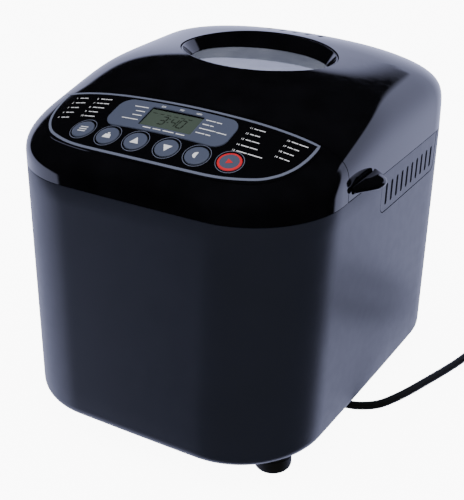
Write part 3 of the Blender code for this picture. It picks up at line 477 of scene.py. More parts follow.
def nonStick():
    # sprayed PTFE coat on aluminium: dark, with a soft sheen and pale flecks
    material, tree, shader = newMaterial("sprayedNonStick", IOR=1.4, Metallic=0.2)
    flecks = spread(tree, objectNoise(tree, 1.1 * mm, 2.0), 0, 1, 0.62, 0.72)
    tinted(tree, shader, flecks, "#2b2c2f", "#77797e")
    roughened(tree, shader, 4 * mm, 0.38, 0.5)
    bumped(tree, shader, objectNoise(tree, 0.8 * mm), 0.03 * mm, 0.3)
    return material


finish = {
    "gloss": glossAbs(),
    "satin": mouldedPlastic("satinCharcoalAbs", "#191c26", "#1f2230", 0.34, 0.7 * mm, 0.012 * mm),
    "black": mouldedPlastic("mouldedBlackPolypropylene", "#141416", "#1c1c1f", 0.5, 0.9 * mm, 0.03 * mm),
    "film": mouldedPlastic("glossyOverlayFilm", "#050507", "#09090c", 0.09, 14 * mm, 0.01 * mm),
    "grey": mouldedPlastic("blueGreyAbs", "#454c60", "#4d546a", 0.36, 0.6 * mm, 0.012 * mm),
    "ink": mouldedPlastic("greyScreenInk", "#5c6277", "#686e84", 0.4, 0.5 * mm, 0.006 * mm),
    "white": mouldedPlastic("whiteScreenInk", "#dcdde4", "#f2f2f6", 0.45, 0.5 * mm, 0.006 * mm),
    "red": mouldedPlastic("redScreenInk", "#c4101e", "#d41a26", 0.32, 0.6 * mm, 0.01 * mm),
    "display": mouldedPlastic("liquidCrystalPane", "#3c4640", "#4a554d", 0.16, 8 * mm, 0.004 * mm),
    "digits": mouldedPlastic("liquidCrystalDigits", "#191e1b", "#20261f", 0.3, 0.6 * mm, 0.004 * mm),
    "rubber": mouldedPlastic("blackSiliconeRubber", "#0d0d0e", "#161617", 0.62, 1.1 * mm, 0.04 * mm, 0.4),
    "cord": mouldedPlastic("blackPvcSheath", "#0b0b0c", "#131314", 0.42, 1.3 * mm, 0.03 * mm),
    "board": mouldedPlastic("greenCircuitBoard", "#1b5a2c", "#24703a", 0.4, 1.5 * mm, 0.05 * mm),
    "steel": plainMetal("brushedSteel", "#9b9c9f", "#b6b7ba", 0.3, 0.5 * mm, 0.015 * mm),
    "aluminium": plainMetal("pressedAluminium", "#b9babd", "#d0d1d3", 0.36, 0.8 * mm, 0.02 * mm),
    "bronze": plainMetal("sinteredBronze", "#8a6a3a", "#a98450", 0.42, 0.4 * mm, 0.03 * mm),
    "heater": plainMetal("scaledNickelSheath", "#4f4d4b", "#6a6663", 0.45, 0.6 * mm, 0.03 * mm),
    "glass": windowGlass(),
    "nonStick": nonStick(),
}
print("materials made")


# Camera and cord

view = {"azimuth": 31.044, "elevation": 26.621, "distance": 899.25 * mm, "aimHeight": 126 * mm,
        "slideRight": -7.866 * mm, "slideUp": -11.73 * mm, "lens": 77.65}


def addCamera():
    az, el = math.radians(view["azimuth"]), math.radians(view["elevation"])
    forward = Vector((-math.sin(az) * math.cos(el), math.cos(az) * math.cos(el), -math.sin(el)))
    right = Vector((math.cos(az), math.sin(az), 0))
    up = right.cross(forward)
    place = Vector((0, 0, view["aimHeight"])) - forward * view["distance"]
    place += right * view["slideRight"] + up * view["slideUp"]
    data = bpy.data.cameras.new("camera")
    data.lens = view["lens"]
    data.clip_start = 0.02
    camera = placed("camera", data)
    camera.matrix_world = Matrix.Translation(place) @ Matrix((right, up, -forward)).transposed().to_4x4()
    bpy.context.scene.camera = camera


cord = {
    "radius": 3.5 * mm, "coilCentre": (212, 150), "outer": 42.1, "inner": 34.8, "low": 4.0, "layer": 7.3,
    "route": ((80.3, -17, 9), (92, -16.8, 8), (103, -15, 5.2), (113.5, -11.6, 3.7), (124, -6, 3.5),
              (133, 2.6, 3.5), (140, 16.4, 3.5), (146, 32, 3.5), (151.6, 49.7, 3.5), (157.3, 68, 3.5),
              (162.8, 87, 3.5), (167.4, 106, 3.6), (169.5, 122, 3.8), (169.9, 136, 4.0)),
    "tail": ((254.1, 138, 11.1), (254.1, 126, 10.2), (254.1, 116, 8.8), (254, 107, 7.7), (254, 99.6, 7.25)),
}


def coilPoints():
    # 3.5 turns wound two wide and two high, changing lane in the last quarter of each turn
    centreX, centreY = cord["coilCentre"]
    outer, inner, low, layer = cord["outer"], cord["inner"], cord["low"], cord["layer"]
    points = []
    perTurn = 36
    for step in range(int(3.5 * perTurn) + 1):
        turn, part = divmod(step / perTurn, 1)
        change = max(0, part * 4 - 3)
        swing = math.radians(90) * change
        firstLane = outer - (outer - inner) * change
        secondLane = (firstLane - layer * math.cos(swing), low + layer * math.sin(swing))
        radius, height = ((firstLane, low), secondLane,
                          (secondLane[0] + layer * math.sin(swing), secondLane[1] + layer * math.cos(swing)),
                          (outer, low + layer))[int(turn)]
        a = math.radians(180) - math.tau * step / perTurn
        points.append((centreX + radius * math.cos(a), centreY + radius * math.sin(a), height))
    return points


def smoothRoute(points, spacing):
    # points on a curve that runs through the given ones, all in millimetres
    route = [Vector(point) for point in points]
    ends = [2 * route[0] - route[1]] + route + [2 * route[-1] - route[-2]]
    result = []
    for i in range(1, len(ends) - 2):
        before, start, end, after = ends[i - 1:i + 3]
        steps = max(1, round((end - start).length / spacing))
        for step in range(steps):
            t = step / steps
            slope = (end - before) * t
            bend = (2 * before - 5 * start + 4 * end - after) * t ** 2
            twist = (3 * start - before - 3 * end + after) * t ** 3
            result.append(0.5 * (2 * start + slope + bend + twist) * mm)
    return result + [route[-1] * mm]


def makeCord():
    points = smoothRoute(cord["route"] + tuple(coilPoints()) + cord["tail"], 3.5)
    flex = wirePiece("powerCord", points, cord["radius"], 6)
    flex.data.materials.append(finish["cord"])
    length = sum((b - a).length for a, b in zip(points, points[1:]))
    print("cord length", round(length, 3))
    return flex, length, points


def makeTie():
    # a band round the stored turns
    centreX, centreY = cord["coilCentre"]
    middleR, middleZ = (cord["outer"] + cord["inner"]) / 2, cord["low"] + cord["layer"] / 2
    half, thick, width = 7.35, 0.45, 2.5
    rings = []
    for across, grow in ((-width, 0), (width, 0), (width, thick), (-width, thick)):
        section = roundedOutline(half + grow, half + grow, 3.4 + grow, 0, 8, 2)
        rings.append([((centreX + across) * mm, (centreY + middleR + u) * mm, (middleZ + v) * mm)
                      for u, v in section])
    tie = skinPiece("cordTie", rings, closed=True)
    return keepPiece(tie, "root", finish["rubber"], slot="black_rubber")


plug = {"x": 254, "y": 66, "z": 7.2, "pinSpacing": 19, "pinRadius": 2.2}


def makePlug():
    sections = ((6.5, 3.6, -19.0), (9, 5.4, -18.7), (11.5, 6.4, -17.4), (12.5, 7, -15), (12.5, 7, -2),
                (12.1, 6.9, 4), (10.6, 6.9, 9), (8.6, 6.6, 13.5), (6.9, 6.2, 17))
    for i in range(5):
        y = 18 + 3 * i
        r = 6.0 - 0.2 * i
        sections += ((r, r, y), (r, r, y + 1.6), (r - 0.8, r - 0.8, y + 1.9), (r - 0.8, r - 0.8, y + 2.7))
    sections += ((4.9, 4.9, 32.5),)
    rings = []
    for halfX, halfZ, along in sections:
        section = roundedOutline(halfX, halfZ, min(halfX, halfZ) * 0.94, 0, 10, 4)
        rings.append([((plug["x"] + u) * mm, (plug["y"] + along) * mm, (plug["z"] + v) * mm)
                      for u, v in section])
    plugBody = skinPiece("plugBody", rings)
    keepPiece(plugBody, "root", finish["cord"], "power_plug", slot="black_rubber")
    pins = []
    for side in (-1, 1):
        place = [(plug["x"] + side * plug["pinSpacing"] / 2) * mm, (plug["y"] - 18.4) * mm, plug["z"] * mm]
        r = plug["pinRadius"]
        profile = ((r, 0), (r, 17), (r - 0.2, 18.6), (r - 0.9, 19.4))
        pins.append(turnedPiece("pin", profile, place, (0, -1, 0), 24))
    return plugBody, keepPiece(joined("plugPins", pins), "root", finish["steel"], slot="steel")


def makeRelief():
    # a tapered sleeve cut by rings so that it bends
    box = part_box("strain_relief")
    length = (box[1][0] - box[0][0]) / mm
    profile = [(5.4, 0), (5.4, 5)]
    ribs = 7
    for i in range(ribs):
        at = 5.6 + i * (length - 7) / ribs
        r = 5.2 - 1.1 * at / length
        profile += [(r - 0.9, at), (r - 0.9, at + 1.2), (r, at + 1.5), (r, at + (length - 7) / ribs - 0.3)]
    profile += [(4.2, length - 1), (3.8, length)]
    place = (box[0][0], *centreOf(box)[1:])
    piece = turnedPiece("cordSleeve", profile, place, (1, 0, 0), 40)
    return keepPiece(piece, "root", finish["rubber"], "strain_relief", slot="black_rubber")


addCamera()
flex, flexLength, flexPoints = makeCord()
plugBody, plugPins = makePlug()
tie = makeTie()
makeRelief()
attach(flex, "root")
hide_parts("power_cord", "power_cord_tail", "cord_coil")
print("cord laid")


# Housing and grilles

body = {"taper": 5.6 * mm, "frontLean": 8 * mm, "rearLean": 3.2 * mm, "edgeRadius": 10 * mm,
        "wall": 2.5 * mm, "lip": 6 * mm}
grille = {"slotWidth": 3.6 * mm, "slotLength": 17.5 * mm, "pitch": 9.75 * mm, "count": 10,
          "drop": 18.8 * mm, "corner": 7 * mm, "cut": 12 * mm, "play": 0.7 * mm}


def housingRing(height, inset):
    # narrower and deeper towards the bottom
    share = (seam - height) / (seam - baseHeight)
    grow = (body["frontLean"] + body["rearLean"]) / 2
    shift = (body["rearLean"] - body["frontLean"]) / 2
    outline = roundedOutline(halfWidth - body["taper"] * share - inset, halfDepth + grow * share - inset,
                             dome["cornerRadius"] - inset, dome["bulge"], 26, 24, (0, shift * share))
    return atHeight(outline, height)


def grilleSpace(side, shrink, deep):
    # an upright block with the grille's outline, its lower corners rounded
    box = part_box("vent_grille_right")
    low, high = box[0][1] - gap + shrink, box[1][1] + gap - shrink
    bottom, top = box[0][2] - gap + shrink, seam + 4 * mm
    radius = grille["corner"] - shrink
    points = [(high, top), (low, top)]
    points += [(low + radius - radius * math.cos(a), bottom + radius - radius * math.sin(a))
               for a in quarterTurns(8)]
    points += [(high - radius + radius * math.sin(a), bottom + radius - radius * math.cos(a))
               for a in quarterTurns(8)]
    near, far = halfWidth - deep, halfWidth + 6 * mm
    return skinPiece("grilleSpace", [[(side * x, y, z) for y, z in points] for x in (near, far)])


def rowTree(name):
    # a row of one shape, evenly spaced: Count, Pitch and the shape are its inputs
    tree = bpy.data.node_groups.new(name, "GeometryNodeTree")
    sockets = (("Geometry", "NodeSocketGeometry", "OUTPUT"), ("Shape", "NodeSocketObject", "INPUT"),
               ("Count", "NodeSocketInt", "INPUT"), ("Start", "NodeSocketVector", "INPUT"),
               ("Pitch", "NodeSocketVector", "INPUT"), ("Material", "NodeSocketMaterial", "INPUT"))
    for label, kind, way in sockets:
        tree.interface.new_socket(label, in_out=way, socket_type=kind)
    source = addNode(tree, "NodeGroupInput").outputs
    line = addNode(tree, "GeometryNodeMeshLine", {"Count": source["Count"], "Start Location": source["Start"],
                                                  "Offset": source["Pitch"]})
    shape = addNode(tree, "GeometryNodeObjectInfo", {"Object": source["Shape"]})
    copies = addNode(tree, "GeometryNodeInstanceOnPoints", {"Points": line.outputs["Mesh"],
                                                            "Instance": shape.outputs["Geometry"]})
    real = addNode(tree, "GeometryNodeRealizeInstances", {"Geometry": copies.outputs["Instances"]})
    painted = addNode(tree, "GeometryNodeSetMaterial", {"Geometry": real.outputs["Geometry"],
                                                        "Material": source["Material"]})
    addNode(tree, "NodeGroupOutput", {"Geometry": painted.outputs["Geometry"]})
    return tree


rowNodes = rowTree("evenRow")


def rowOf(name, shape, count, start, pitch, material):
    # the row as one plain mesh; the pattern shape is used up
    piece = placed(name, bpy.data.meshes.new(name))
    modifier = piece.modifiers.new("Row", "NODES")
    modifier.node_group = rowNodes
    values = {"Shape": shape, "Count": count, "Start": start, "Pitch": pitch, "Material": material}
    for item in rowNodes.interface.items_tree:
        if item.in_out == "INPUT":
            modifier[item.identifier] = values[item.name]
    finished(piece)
    bpy.data.objects.remove(shape)
    smoothed(piece.data)
    return piece


def roundSlot(width, length, depth, across="X"):
    # a slot's cutter, round at both ends, standing in Z or lying along Y
    half = length / 2 - width / 2
    turns = [math.pi * i / 10 for i in range(11)]
    points = [(width / 2 * math.cos(a), half + width / 2 * math.sin(a)) for a in turns]
    points += [(-u, -v) for u, v in points]
    if across == "X":
        return skinPiece("slot", [[(x, u, v) for u, v in points] for x in (-depth, depth)])
    return skinPiece("slot", [[(u, v, z) for u, v in points] for z in (-depth, depth)])


def makeHousing():
    turns = quarterTurns(10)
    edge, wall = body["edgeRadius"], body["wall"]
    straight = seam - baseHeight - edge
    rings = [housingRing(baseHeight + edge * (1 - math.cos(a)), edge * (1 - math.sin(a))) for a in turns]
    rings += [housingRing(baseHeight + edge + straight * i / 12, 0) for i in range(1, 12)]
    top = seam - gap
    rings += [housingRing(top - 0.8 * mm, 0), housingRing(top - 0.25 * mm, 0.2 * mm),
              housingRing(top, 0.8 * mm), housingRing(top, wall)]
    inner = edge - wall
    rings += [housingRing(baseHeight + edge - inner * math.sin(a), wall + inner * (1 - math.cos(a)))
              for a in turns]
    rings += [housingRing(baseHeight + rise, edge + body["lip"]) for rise in (wall, 0)]
    housing = skinPiece("housing", rings, closed=True)
    cutFrom(housing, *[grilleSpace(side, 0, grille["cut"]) for side in (1, -1)])
    keepPiece(housing, "root", finish["satin"], "outer_housing", slot="satin_housing")


def makeGrille(side, node):
    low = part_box(node)[0][2] - 6 * mm
    rings = [housingRing(low + (seam - gap - low) * i / 6, 0.15 * mm) for i in range(7)]
    rings += [housingRing(seam - gap, body["wall"]), housingRing(low, body["wall"])]
    panel = skinPiece("grillePanel", rings, closed=True)
    cutFrom(panel, grilleSpace(side, grille["play"], grille["cut"]), operation="INTERSECT")
    firstY = centreOf(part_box(node))[1] - (grille["count"] - 1) * grille["pitch"] / 2
    start = (side * halfWidth, firstY, seam - grille["drop"])
    slot = roundSlot(grille["slotWidth"], grille["slotLength"], 9 * mm)
    slots = rowOf("slots", slot, grille["count"], start, (0, grille["pitch"], 0), finish["satin"])
    cutFrom(panel, slots)
    panel.name = "grille" + ("Right" if side > 0 else "Left")
    keepPiece(panel, "root", finish["satin"], node, slot="satin_housing")


def makeUnderside():
    plate = frame["nodes"]["base_plate"]
    plate.data.materials.clear()
    plate.data.materials.append(finish["black"])
    low = baseHeight + body["wall"] + gap
    profile = ((0.9, 0.9), (0.9, 0.05), (3.1, 0.05), (3.4, -0.4), (3.4, -0.9), (0.5, -1.4))
    screws = [turnedPiece("screw", profile, (x * mm, y * mm, low - 0.1 * mm), (0, 0, -1), 24)
              for x, y in ((-60, -95), (60, -95), (-60, 95), (60, 95), (0, -110), (0, 110))]
    keepPiece(joined("baseScrews", screws), "root", finish["steel"], slot="steel")


def makeFeet():
    r = 14.5
    for node in ("foot_front_left", "foot_front_right", "foot_rear_left", "foot_rear_right"):
        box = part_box(node)
        top = (baseHeight - gap) / mm
        profile = [(0, 0.6), (6.5, 0.6), (7, 0), (9.6, 0)]
        profile += [(9.8 + 4.7 * math.sin(a), 4.7 - 4.7 * math.cos(a)) for a in quarterTurns(8)[1:]]
        profile += [(r, 12), (r - 0.4, 12.3), (r - 0.4, 13.2), (r, 13.5), (r, top - 0.6), (r - 0.6, top),
                    (4, top), (4, top + 2.8), (0, top + 2.8)]
        foot = turnedPiece("rubberFoot_" + node[5:], profile, (*centreOf(box)[:2], 0))
        keepPiece(foot, "root", finish["rubber"], node, slot="black_rubber")


makeHousing()
makeGrille(1, "vent_grille_right")
makeGrille(-1, "vent_grille_left")
makeUnderside()
makeFeet()
print("housing made")


# Console and control panel

panel = {
    "film": 0.5 * mm, "lift": 0.3 * mm, "borderWidth": 1.9 * mm,
    "edge": ((109.7, -76.7), (109.7, -85.3), (108.6, -95.2), (105, -107.2), (98.9, -118.5),
             (89.6, -127.7), (79.6, -133.4), (64.4, -137.8), (49.3, -140.0), (33.2, -140.7), (0, -141.4)),
    "border": ((107.4, -78.4), (107.3, -86), (106.0, -96.2), (102.5, -107.4), (95.6, -118.4), (84.5, -127.6),
               (63.5, -135.6), (38.5, -138.3), (0, -139.2)),
}
button = {
    "radius": 8.7, "hole": 9.2, "ring": 10.0 * mm, "ringWidth": 0.4 * mm, "ringRise": 0.08 * mm,
    "places": {"menu": (-61.9, -121.1), "weight": (-37.6, -124.1), "up": (-13.1, -124.4),
               "down": (13.1, -124.4), "colour": (37.6, -124.1), "start": (61.9, -121.1)},
}
bezel = {"half": (50.5 * mm, 14.8 * mm), "radius": 9.5 * mm, "y": -98.7 * mm,
         "paneHalf": (22 * mm, 10 * mm), "thick": 0.7 * mm}


def panelLoop(edge, top=()):
    # a closed line from its right half: down the edge, up the other side, and back along the top
    down = [(x, y, 0) for x, y in edge] + [(-x, y, 0) for x, y in reversed(edge[:-1])]
    across = [(-x, y, 0) for x, y in reversed(top)] + [(x, y, 0) for x, y in top]
    points = smoothRoute(down, 2.5)
    if top:
        points += smoothRoute([down[-1]] + across + [down[0]], 4)[1:-1]
    return [(point.x, point.y) for point in points]


def upright(name, points):
    return skinPiece(name, [atHeight(points, seam - 5 * mm), atHeight(points, seam + 90 * mm)])


def buttonHoles(radius):
    holes = []
    for x, y in button["places"].values():
        spot = domeFrame(x * mm, y * mm, 0)
        holes.append(turnedPiece("hole", ((radius, -14), (radius, 14)), spot.translation,
                                 spot.col[2].to_3d(), 48))
    return holes


def displayHole(grow):
    x, y = bezel["paneHalf"][0] + grow, bezel["paneHalf"][1] + grow
    points = roundedOutline(x, y, 1.2 * mm, 0, 4, 2, (0, bezel["y"]))
    return upright("displayHole", points)


def domeFilm(name, lift, thickness, outline, *cutters):
    skin = domeSheet(name, lift + thickness)
    withModifier(skin, "SOLIDIFY", thickness=thickness, offset=-1)
    cutFrom(skin, upright("edge", outline), operation="INTERSECT")
    if cutters:
        cutFrom(skin, *cutters)
    return polishDome(skin, lift + thickness)


def domeRibbon(name, points, width, lift, thick):
    # a flat printed line that follows the dome and closes on itself
    plan = [Vector(point) for point in points]
    stations = []
    for i, point in enumerate(plan):
        along = plan[(i + 1) % len(plan)] - plan[i - 1]
        side = along.normalized().orthogonal() * width / 2
        a, b = point + side, point - side
        stations.append([onDome(*a, lift), onDome(*b, lift), onDome(*b, lift + thick),
                         onDome(*a, lift + thick)])
    return skinPiece(name, stations, closed=True)


def makeConsole():
    shell = domeShell("console", consoleBack, -1, seam)
    cutFrom(shell, displayHole(1 * mm), *buttonHoles(button["hole"]))
    polishDome(shell)
    keepPiece(shell, "root", finish["gloss"], "front_console", slot="gloss_abs")
    film = domeFilm("overlayFilm", panel["lift"], panel["film"], panelLoop(panel["edge"]),
                    displayHole(1 * mm), *buttonHoles(button["hole"]))
    keepPiece(film, "root", finish["film"], "control_overlay", slot="gloss_abs")
    top = panel["lift"] + panel["film"]
    line = panelLoop(panel["border"], ((28, -79.9), (60, -79.3), (88, -78.8)))
    border = domeRibbon("panelBorder", line, panel["borderWidth"], top, 0.1 * mm)
    keepPiece(border, "root", finish["ink"], slot="grey_plastic")
    points = roundedOutline(*bezel["half"], bezel["radius"], 0, 16, 14, (0, bezel["y"]))
    plate = domeFilm("displayBezel", top + 0.15 * mm, bezel["thick"], points, displayHole(0.2 * mm))
    keepPiece(plate, "root", finish["grey"], "display_bezel", slot="grey_plastic")


makeConsole()
print("console made")


# Display, with plain digits

display = {"digit": (4.6, 8.6), "bar": 0.85, "text": "3:40", "slant": 0.12, "dot": 0.9, "dotGap": 0.3,
           "left": -9.5, "low": -5.2}
segments = {"0": "abcdef", "1": "bc", "2": "abged", "3": "abgcd", "4": "fgbc", "5": "afgcd", "6": "afgedc",
            "7": "abc", "8": "abcdefg", "9": "abcdfg"}


def flatShape(name, outlines, spot, thick):
    # thin plates with the given outlines, in millimetres on a spot's own plane
    points, faces = [], []
    for outline in outlines:
        start, count = len(points), len(outline)
        for z in (0, thick):
            points += [spot @ Vector((u * mm, v * mm, z)) for u, v in outline]
        faces += [tuple(range(start, start + count))[::-1], tuple(range(start + count, start + 2 * count))]
        faces += [(start + i, start + (i + 1) % count, start + count + (i + 1) % count, start + count + i)
                  for i in range(count)]
    return meshPiece(name, points, faces)


def barOutline(u0, v0, u1, v1, width):
    start, end = Vector((u0, v0)), Vector((u1, v1))
    along = (end - start).normalized() * width / 2
    side = Vector((-along.y, along.x))
    return [start + side, start - along, start - side, end - side, end + along, end + side]


def digitBars(mark, left, low):
    wide, tall = display["digit"]
    inset = display["bar"] * 0.75
    corners = {"a": (0, 2, 1, 2), "b": (1, 1, 1, 2), "c": (1, 0, 1, 1), "d": (0, 0, 1, 0), "e": (0, 0, 0, 1),
               "f": (0, 1, 0, 2), "g": (0, 1, 1, 1)}
    bars = []
    for letter in segments[mark]:
        u0, v0, u1, v1 = corners[letter]
        shiftU, shiftV = (inset, 0) if u0 != u1 else (0, inset)
        bar = barOutline(u0 * wide + shiftU, v0 * tall / 2 + shiftV,
                         u1 * wide - shiftU, v1 * tall / 2 - shiftV, display["bar"])
        bars.append([(left + u + display["slant"] * v, low + v) for u, v in bar])
    return bars


def makeDisplay():
    y, (halfX, halfY) = bezel["y"], bezel["paneHalf"]
    rise = float(domeHeight(0, y + halfY) - domeHeight(0, y - halfY))
    lean = math.atan2(rise, 2 * halfY)
    top = float(domeHeight(0, y)) + 0.3 * mm
    spot = Matrix.Translation((0, y, top)) @ Matrix.Rotation(lean, 4, "X")
    u, v = (halfX - 0.15 * mm) / mm, (halfY - 0.3 * mm) / mm
    deep = 5 * mm
    under = spot @ Matrix.Translation((0, 0, -deep))
    pane = flatShape("displayPane", [boxOutline(-u, -v, u, v)], under, deep)
    withModifier(pane, "BEVEL", width=0.4 * mm, segments=2, limit_method="ANGLE")
    keepPiece(pane, "root", finish["display"], "lcd_display", slot="display")
    bars = []
    left, dot = display["left"], display["dot"]
    for mark in display["text"]:
        if mark == ":":
            at = left + display["dotGap"]
            bars += [boxOutline(at, low, at + dot, low + dot) for low in (-2.4, 1.4)]
            left += 2.6
        else:
            bars += digitBars(mark, left, display["low"])
            left += display["digit"][0] + 1.9
    bars += [boxOutline(6 * i - 19, 5.2, 6 * i - 15.5, 5.8) for i in range(6)]
    digits = flatShape("displayDigits", bars, spot @ Matrix.Translation((0, 0, 0.04 * mm)), 0.05 * mm)
    keepPiece(digits, "root", finish["digits"], slot="display")


makeDisplay()


# Printed marks: numbers, plain dashes in place of words, and the buttons' signs

marks = {"numberSize": 2.5, "dashHeight": 0.75, "dashGap": 0.7, "dashMiddle": 0.9, "thick": 0.05 * mm}

# each list: where it starts, its pitch, its first number, and the dashes of each row
programmes = {
    "programmesLeftA": (-95, -86, 5.9, 1, ((3.5, 4), (4, 5), (3, 4), (3, 4), (4, 3))),
    "programmesLeftB": (-75, -86.5, 5.2, 6, ((4, 6), (2, 3, 5), (4, 6), (3, 5), (3, 6))),
    "programmesRightA": (57, -86.5, 6.1, 11, ((3, 5), (3, 4), (4, 6), (6, 6), (8, 11))),
    "programmesRightB": (86, -86.2, 5.8, 16, ((5, 7), (4, 4), (4, 3), (3, 4))),
}


def numberOutline(name, text, size, spot, centred=False):
    curve = bpy.data.curves.new(name, "FONT")
    curve.body = text
    curve.size = size * mm
    curve.extrude = 0.04 * mm
    curve.align_x = "CENTER" if centred else "LEFT"
    letters = placed(name, curve)
    letters.matrix_world = spot
    return finished(letters)


def printedList(name, x, top, pitch, first, entries, lift):
    # rows of a number and the dashes that stand for its word
    pieces = []
    half, middle = marks["dashHeight"] / 2, marks["dashMiddle"]
    for row, dashes in enumerate(entries):
        y = top - row * pitch
        spot = domeFrame(x * mm, y * mm, lift)
        pieces.append(numberOutline("number", str(first + row), marks["numberSize"], spot))
        left = 3.6
        bars = []
        for length in dashes:
            bars.append(boxOutline(left, middle - half, left + length, middle + half))
            left += length + marks["dashGap"]
        pieces.append(flatShape("dashes", bars, spot, marks["thick"]))
    keepPiece(joined(name, pieces), "root", finish["white"], slot="gloss_abs")


def makeMarks():
    lift = panel["lift"] + panel["film"] + 0.05 * mm
    for name, layout in programmes.items():
        printedList(name, *layout, lift)
    top = panel["lift"] + panel["film"] + 0.15 * mm + bezel["thick"] + 0.03 * mm
    labels = [numberOutline("label", text, 2.4, domeFrame(x * mm, -87.3 * mm, top), True)
              for x, text in ((-14, "500"), (1.5, "750"), (16, "1000"))]
    bars = []
    for y, leftLength, rightLength in ((-91, 12, 13), (-95.8, 8, 9), (-100.3, 8, 22), (-105, 14, 12)):
        bars += [(-24.5 - leftLength, -24.5, y), (24.5, 24.5 + rightLength * 0.6, y),
                 (25.3 + rightLength * 0.6, 24.5 + rightLength, y)]
    bars += [(-16, -9.5, -110.9), (-7.5, -1, -110.9), (1, 10, -110.9), (12, 19, -110.9)]
    for start, end, y in bars:
        half = (end - start) / 2
        here = domeFrame((start + end) / 2 * mm, y * mm, top)
        dash = boxOutline(-half, 0, half, marks["dashHeight"])
        labels.append(flatShape("label", [dash], here, marks["thick"]))
    keepPiece(joined("bezelMarks", labels), "root", finish["white"], slot="grey_plastic")
    for name, (x, y) in button["places"].items():
        circle = ellipse(button["ring"], button["ring"], 0, (x * mm, y * mm), 64)
        ring = domeRibbon("keySurround_" + name, [place[:2] for place in circle], button["ringWidth"],
                          panel["lift"] + panel["film"], button["ringRise"])
        keepPiece(ring, "root", finish["ink"], slot="grey_plastic")


signs = {
    "menu": [boxOutline(-3.4, 1.9, 3.4, 2.6), boxOutline(-3.4, -0.35, 3.4, 0.35),
             boxOutline(-3.4, -2.6, 3.4, -1.9)],
    "weight": [[(-3.4, -2.6), (3.4, -2.6), (2.3, 1.2), (-2.3, 1.2)], boxOutline(-0.9, 1.6, 0.9, 2.9)],
    "up": [[(-2.4, -1.7), (2.4, -1.7), (0, 2.4)]],
    "down": [[(-2.4, 1.7), (0, -2.4), (2.4, 1.7)]],
    "colour": [[(3 * math.cos(a), 3 * math.sin(a))
                for a in [math.radians(90 + 180 * i / 12) for i in range(13)]]],
    "start": [[(-2.0, -2.4), (2.6, 0), (-2.0, 2.4)]],
}


def makeButton(name, x, y):
    # a low round key with a dished top and a softened rim
    spot = domeFrame(x * mm, y * mm, 0)
    r = button["radius"]
    profile = [(0, -4.5), (r, -4.5), (r, 0.6), (r - 0.12, 0.9), (r - 0.45, 1.1), (r - 1.0, 1.18),
               (r - 2.0, 1.14), (5, 1.05), (2.5, 1.0), (0, 0.98)]
    out = spot.col[2].to_3d()
    key = turnedPiece("key_" + name, profile, spot.translation, out, 64)
    slot = "red_button" if name == "start" else "grey_plastic"
    keepPiece(key, "button_" + name, finish["grey"], "button_" + name, slot=slot)
    if name == "start":
        profile = [(r + 0.02, 0.6), (r - 0.05, 0.95), (r - 0.4, 1.18), (r - 1.0, 1.27), (r - 1.7, 1.25),
                   (r - 1.7, 1.0), (r - 1.0, 1.0), (r - 0.3, 0.6)]
        ring = turnedPiece("keyRing_start", profile, spot.translation, out, 64, closed=True)
        keepPiece(ring, "button_start", finish["red"], slot=slot)
    ink = finish["red"] if name == "start" else finish["white"]
    scale = 1.5 if name in ("up", "down") else 1.0
    outlines = [[(u * scale, v * scale) for u, v in outline] for outline in signs[name]]
    sign = flatShape("keySign_" + name, outlines, spot @ Matrix.Translation((0, 0, 1.0 * mm)), 0.18 * mm)
    keepPiece(sign, "button_" + name, ink, slot=slot)


makeMarks()
for name, (x, y) in button["places"].items():
    makeButton(name, x, y)
print("panel printed and keys made")


# Lid

lid = {"window": (66.5 * mm, 48 * mm), "ventSize": (3 * mm, 10 * mm), "ventPitch": 11.85 * mm, "ventCount": 5,
       "ventSetback": 62.5 * mm, "rimRise": 58.2 * mm, "lip": 0.8 * mm}
hinge = jointPlace["lid_hinge"]["pos_m"]


def makeLid():
    shell = domeShell("lidShell", lidFront, 1, seam + 0.4 * mm)
    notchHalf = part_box("rear_hinge_base")[1][0] + 2 * mm
    notch = blockPiece("notch", (-notchHalf, hinge[1] - 7 * mm, seam - 9 * mm),
                       (notchHalf, halfDepth + 9 * mm, hinge[2] + 4.5 * mm))
    window = skinPiece("window", [ellipse(*lid["window"], seam + rise * mm, (0, middleY))
                                  for rise in (20, 90)])
    start = (-(lid["ventCount"] - 1) / 2 * lid["ventPitch"], middleY + lid["ventSetback"], seam + 60 * mm)
    vents = rowOf("vents", roundSlot(*lid["ventSize"], 12 * mm, "Z"), lid["ventCount"], start,
                  (lid["ventPitch"], 0, 0), finish["gloss"])
    cutFrom(shell, notch, window, vents)
    polishDome(shell)
    keepPiece(shell, "lid", finish["gloss"], "lid_cover", slot="gloss_abs")


def makeWindow():
    # a black funnel that falls from a soft rolled lip to the glass
    top = seam + lid["rimRise"]
    across, along = lid["window"]
    rolled = [(1.3 + math.cos(a), math.sin(a) - 1.0) for a in [math.radians(180 - 30 * i) for i in range(5)]]
    rings = [ellipse(across - 0.3 * mm, along - 0.3 * mm, top - 8.7 * mm, (0, middleY))]
    for inset, drop in rolled:
        ring = ellipse(across - inset * mm, along - inset * mm, 0, (0, middleY))
        rings.append([(x, y, float(domeHeight(x, y)) + drop * mm - lid["lip"]) for x, y, _ in ring])
    rings += [ellipse(across - inset * mm, along - inset * mm, top - drop * mm, (0, middleY))
              for inset, drop in ((7.4, 4.2), (8.0, 4.9), (8.0, 5.2), (3.7, 5.2), (3.7, 8.7))]
    rim = skinPiece("windowRim", rings, closed=True)
    keepPiece(rim, "lid", finish["gloss"], "window_rim", slot="gloss_abs")
    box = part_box("window_glass")
    low, high = box[0][2], box[1][2]
    rings = [ellipse(box[1][0] - inset * mm, (box[1][1] - box[0][1]) / 2 - inset * mm, z, (0, middleY))
             for inset, z in ((0.3, low), (0, low + 0.3 * mm), (0, high - 0.3 * mm), (0.3, high))]
    keepPiece(skinPiece("windowPane", rings), "lid", finish["glass"], "window_glass", slot="glass")


